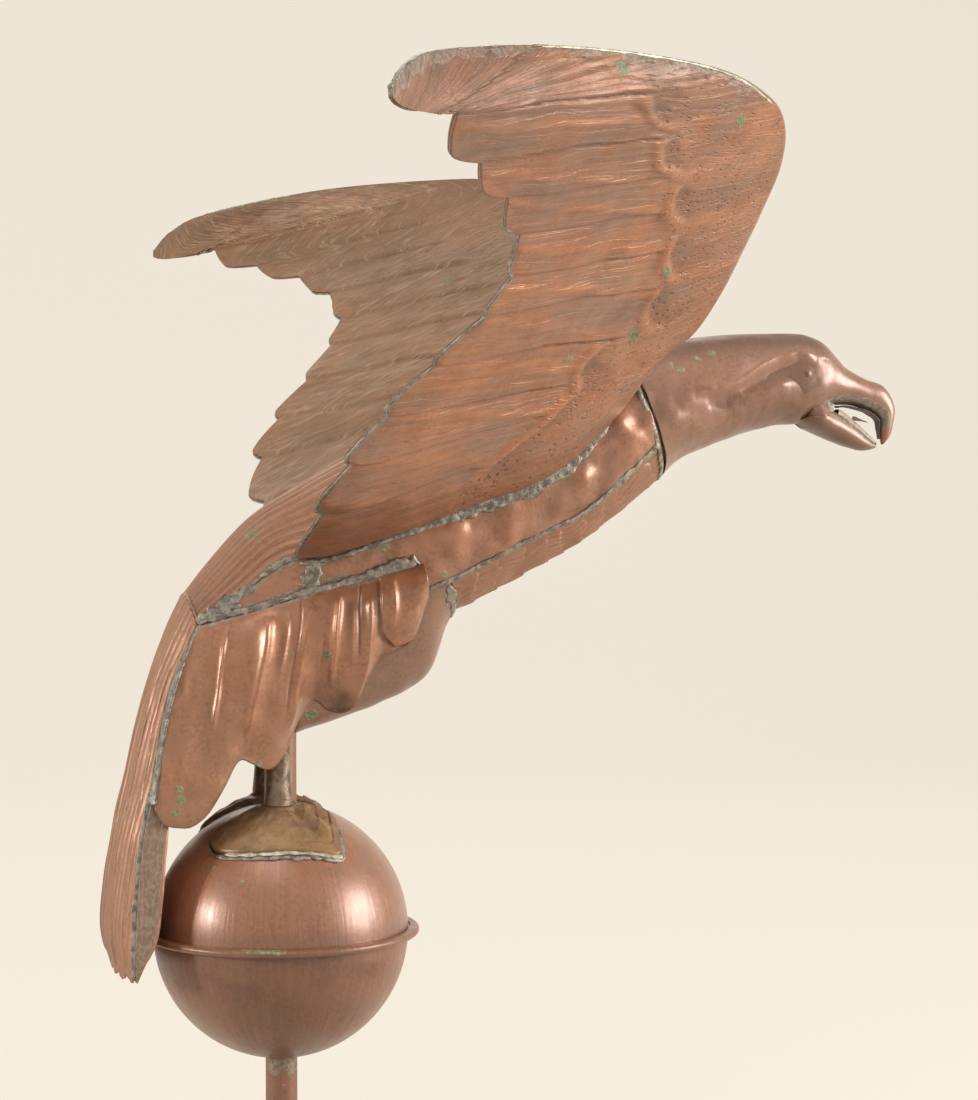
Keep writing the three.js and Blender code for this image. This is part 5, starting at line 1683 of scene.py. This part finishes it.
def make_spindle():
    """The fixed rod with its cupped top, and the bush that runs on it."""
    pivot = TUBE_TOP - PIN_HEAD - PLUG_LENGTH + PIVOT_CUP - FIT_GAP - PIVOT_RADIUS
    top = pivot - PIVOT_RADIUS - FIT_GAP + PIVOT_CUP
    cup = PIVOT_RADIUS + FIT_GAP
    wide = math.acos((pivot - top) / cup)
    profile = [(0, 0), (SPINDLE_RADIUS - 1, 0), (SPINDLE_RADIUS, 1)]
    profile += [(SPINDLE_RADIUS, z) for z in np.linspace(20, top - 1, 12)]
    profile += [(SPINDLE_RADIUS - 1, top)]
    profile += [(cup * math.sin(a), pivot - cup * math.cos(a)) for a in np.linspace(wide, 0, 9)]
    spun("spindle_rod", profile, "Spindle iron", ["spindle"], 48, body="spindle")
    bottom = TUBE_BOTTOM - FIT_GAP - BUSH_FLANGE
    shoulder, top = TUBE_BOTTOM - FIT_GAP, TUBE_BOTTOM + BUSH_LENGTH
    inner, outer = SPINDLE_RADIUS + FIT_GAP, TUBE_RADIUS - TUBE_WALL - FIT_GAP
    profile = [
        (inner, bottom), (TUBE_RADIUS - 0.4, bottom), (TUBE_RADIUS, bottom + 0.4), (TUBE_RADIUS, shoulder),
        (outer, shoulder), (outer, top), (inner, top), (inner, bottom),
    ]
    spun("guide_bush_ring", profile, "Plain brass", ["guide_bush"], 64)


# Solder

# What is laid on both sides: its maker, name, edges, directions and the rest
RUNS = []
FILL_STEPS = 14


def lay(name, path, out, *rest, **more):
    """Keeps a run of solder, to be laid on both sides."""
    RUNS.append((solder, name + "_{}_solder", [path], out, rest, more))


def fill(name, a, b, out, *rest, **more):
    """Keeps a skin of solder or metal between two edges, to be laid on both sides."""
    RUNS.append((solder_between, name, [a, b], out, rest, more))


def run_on(surface, s, v, sign=-1):
    """Places on a surface and the directions out of it."""
    return surface(s, v), sign * normal_of(surface, s, v)


def solder_between(name, a, b, out, bulge, seed, finish="Lead solder", ragged=1.0, proud=0.5):
    """A skin of solder or metal from one edge to another."""
    w = np.concatenate([np.linspace(0, 1, FILL_STEPS), np.linspace(1, 0, FILL_STEPS)])
    front = np.arange(len(w)) < FILL_STEPS
    a, b, out = a[:, None], b[:, None], out[:, None]
    points = mix(a, b, w[:, None])
    swell = np.where(front, bulge * np.sin(np.pi * w) + proud, -SOLDER_DEPTH)
    swell = swell * (1 + 0.5 * ragged * rough(points, 7, seed) * front)
    swell = swell + 0.5 * ragged * rough(points, 4, seed + 3) * front
    points = raised(points, out, swell)
    points = np.concatenate([points, points[:, :1]], axis=1)
    return closed_ends(skin(name, points, finish))


def body_seams():
    s = np.linspace(0.07, WING_ROOT_END + 0.01, 210)
    wide = 3.0 + 5.5 * smooth((s - 0.1) / 0.12) * smooth((0.62 - s) / 0.25)
    p, n = run_on(torso, s, flank_top(s) - 3.2 - wide * 0.45)
    lay("wing_root", p + n * 0.4, n, wide * (1 + 0.35 * rough(p, 14, 2)), 1.1, 7)
    s = np.linspace(0.004, 1, 230)
    p, n = run_on(torso, s, flank_foot(s))
    lay("breast_seam", p + n * 0.1, n, 3.4 + 1.8 * rough(p, 10, 4), 0.8, 8)
    s = np.linspace(WING_ROOT_END - 0.01, 1, 80)
    p, n = run_on(torso, s, flank_top(s))
    lay("back_seam", p + n * 0.2, n, 2.6 + 7 * smooth((s - 0.86) / 0.06) + 1.4 * rough(p, 8, 6), 0.9, 9)
    u = np.linspace(0.01, 0.99, 210)
    p, n = run_on(thigh_place, u, 0 * u - 0.012)
    lay("thigh_top", p + n * 0.1, n, 3.8 + 5.5 * smooth((u - 0.74) / 0.12) + 3.2 * rough(p, 12, 5), 1.0, 10)
    turn = np.linspace(-88, 88, 130)
    p, n = run_on(torso, 0 * turn + 0.011, turn)
    lay("neck", p + n * 0.1, n, 3.2 + 2.2 * rough(p, 8, 12), 0.9, 11)
    s = np.linspace(0.725, 0.775, 26)
    p, n = run_on(torso, s, np.linspace(float(flank_top(0.74)) - 3, float(thigh_angle(0.77)) + 1, 26))
    lay("bridge", p, n, 9 + 5 * rough(p, 6, 13), 0.9, 14)
    s = np.linspace(0.9, 0.99, 26)
    p, n = run_on(torso, s, mix(thigh_angle(s), flank_top(s), 0.5))
    lay("rump", p, n, 11 + 5 * rough(p, 6, 23), 0.9, 24)
    v = np.linspace(0.03, 0.49, 60)
    p, n = run_on(belly_place, 0 * v + 0.008, v, 1)
    lay("belly_front", p + n * 0.1, n, 5.5 + 4 * rough(p, 7, 15), 0.8, 16)


def wing_seams():
    t = np.linspace(0.3 / ROWS, 7.3 / ROWS, 520)
    p, n = wing_place(t, 0 * t + 1), -wing_normal(t, 0 * t + 0.97)
    lay("wing_edge", p + n * 0.9, n, 1.7 + 1.0 * rough(p, 9, 28), 0.6, 28)
    t, v = np.linspace(11.2 / ROWS, 1, 150), np.linspace(0.02, 0.9, 20)
    front, end = wing_place(t, 0 * t), wing_place(0 * v + 1, v)
    p = np.concatenate([front, end])
    n = unit(np.concatenate([front - wing_place(t, 0 * t + 0.08), end - wing_place(0 * v + 0.98, v)]))
    lay("wing_tip", p - n * 0.2, n, 2.9 + 0.5 * rough(p, 9, 37), 0.5, 38)
    t = np.linspace(8.8 / ROWS, 11.3 / ROWS, 160)
    v = 3.2 / np.linalg.norm(wing_place(t, 0 * t) - wing_place(t, 0 * t + 1), axis=-1)
    p, n = wing_place(t, v), -wing_normal(t, v + 0.02)
    lay("wing_top", p + n * 1.9, n, 1.1 + 0.7 * rough(p, 8, 29), 0.4, 30, finish="Bright solder")


def head_seams():
    k = np.linspace(0, 1, 50)
    a = head_side(HEAD)(mix(0.36, 0.49, k), -88 + 44 * smooth(k * 3.5) - 14 * smooth(k * 2 - 1))
    b = head_side(JAW)(0 * k + 0.21, mix(-88, 52, k**0.75))
    out = unit(xyz(0.1 - 0.3 * k, -0.15 - 1.2 * np.sin(k * 2), -0.9 + 0.8 * k))
    fill("jaw_joint_{}_fill", a, b, out, 0.8, 31, finish="Head copper", ragged=0.1, proud=0.2)
    k = np.linspace(-0.15, 1.15, 16)
    p = mix(a[-1], b[-1], k[:, None]) + [1.0, -0.6, 0]
    out = xyz(0 * k, -1, 0)
    lay("mouth_corner", p, out, 4.8 + 1.5 * rough(p, 4, 32), 1.2, 33, finish="Bright solder")
    k = np.linspace(0.05, 0.98, 70)
    near = lining_place(LINING_LOWER, LINING_WIDTHS[::-1], k, -0.5) - [0, 0.2, 0]
    h = np.interp(along(LINING_LOWER, k)[..., 0], [row[0] for row in JAW], np.linspace(0, 1, len(JAW)))
    shell = head_side(JAW)(h, 52)
    out = xyz(0 * k - 0.2, -1, 0.2)
    fill("jaw_edge_{}_solder", near, shell, out, 0.2, 39, finish="Lower beak lining", ragged=0.4, proud=0.3)


def tail_seams():
    v = np.linspace(0, 0.97, 90)
    near = thigh_place(0 * v, v)
    t = np.linspace(0, 1, 500)
    edge = tail_place(t, 0 * t - 1)
    far = edge[np.abs(edge[:, 2][None] - near[:, 2][:, None]).argmin(axis=1)]
    out = unit(np.cross(near - far, [0, 0, 1.0]) * [1, 1, 0])
    fill("tail_side_{}_solder", near, far, turned(out, out[..., 1] > 0), 0.8, 17)
    t = np.linspace(0.4, 0.985, 130)
    edge = tail_place(t, 0 * t - 1)
    n = unit(xyz(0.12 + 0 * t, -1, 0))
    lay("tail_edge", edge + [0.9, 0, 0] + n * 0.1, n, 4.0 + 1.0 * rough(edge, 9, 25), 0.6, 26)


def foot_seams():
    turn = np.linspace(0, 1, 181)
    rim = foot_place(0 * turn + 1.02, turn, False)
    n = unit(rim - [0, 0, BALL_CENTRE])
    near_side = bump(((turn - 0.3 + 0.5) % 1) - 0.5, 0.2)
    wide = 1.4 + 3.6 * near_side + 2.2 * rough(rim, 7, 18)
    lay("foot", rim + n * 0.1, n, wide, 0.9 + 0.4 * lumps(rim, 6, 19), 20, lift=0)
    # A paler run of solder along the outer edge of each sole: solder, made paler as its painted highlight.
    turn = np.linspace(0.17, 0.46, 80)
    rim = foot_place(0 * turn + 1, turn, False)
    n = unit(rim - [0, 0, BALL_CENTRE] + [0, -20, 30])
    lay("foot_edge", rim + n * 1.4, n, 2.3 + 1.4 * rough(rim, 5, 34), 0.8, 35, lift=0, finish="Bright solder")


def make_solder():
    for seams in (body_seams, wing_seams, head_seams, tail_seams, foot_seams):
        seams()
    for side, flip in SIDES.items():
        for make, name, edges, out, rest, more in RUNS:
            make(name.format(side), *(edge * flip for edge in edges), out * flip, *rest, **more)
    q = np.linspace(-0.97, 0.97, 150)
    p, n = run_on(tail_place, 0 * q, q)
    n = turned(n, n[..., 0] > 0)
    solder("tail_joint_solder", p + n * 0.1, n, 3.4, 0.35, 36, finish="Tail copper")


for make in (
    make_flanks, make_back, make_breast, make_belly, make_head, make_jaw, make_mouth, make_wings, make_tail,
    make_thighs, make_feet, make_ball, make_tube, make_spindle, make_solder,
):
    make()

HIDDEN = {
    "neck_collar": "Lead solder", "bearing_plug": "Greased steel", "plug_pin": "Greased steel",
    "pivot_ball": "Greased steel",
}
for node, finish in HIDDEN.items():
    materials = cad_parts[node].data.materials
    materials.clear()
    materials.append(FINISH[finish])
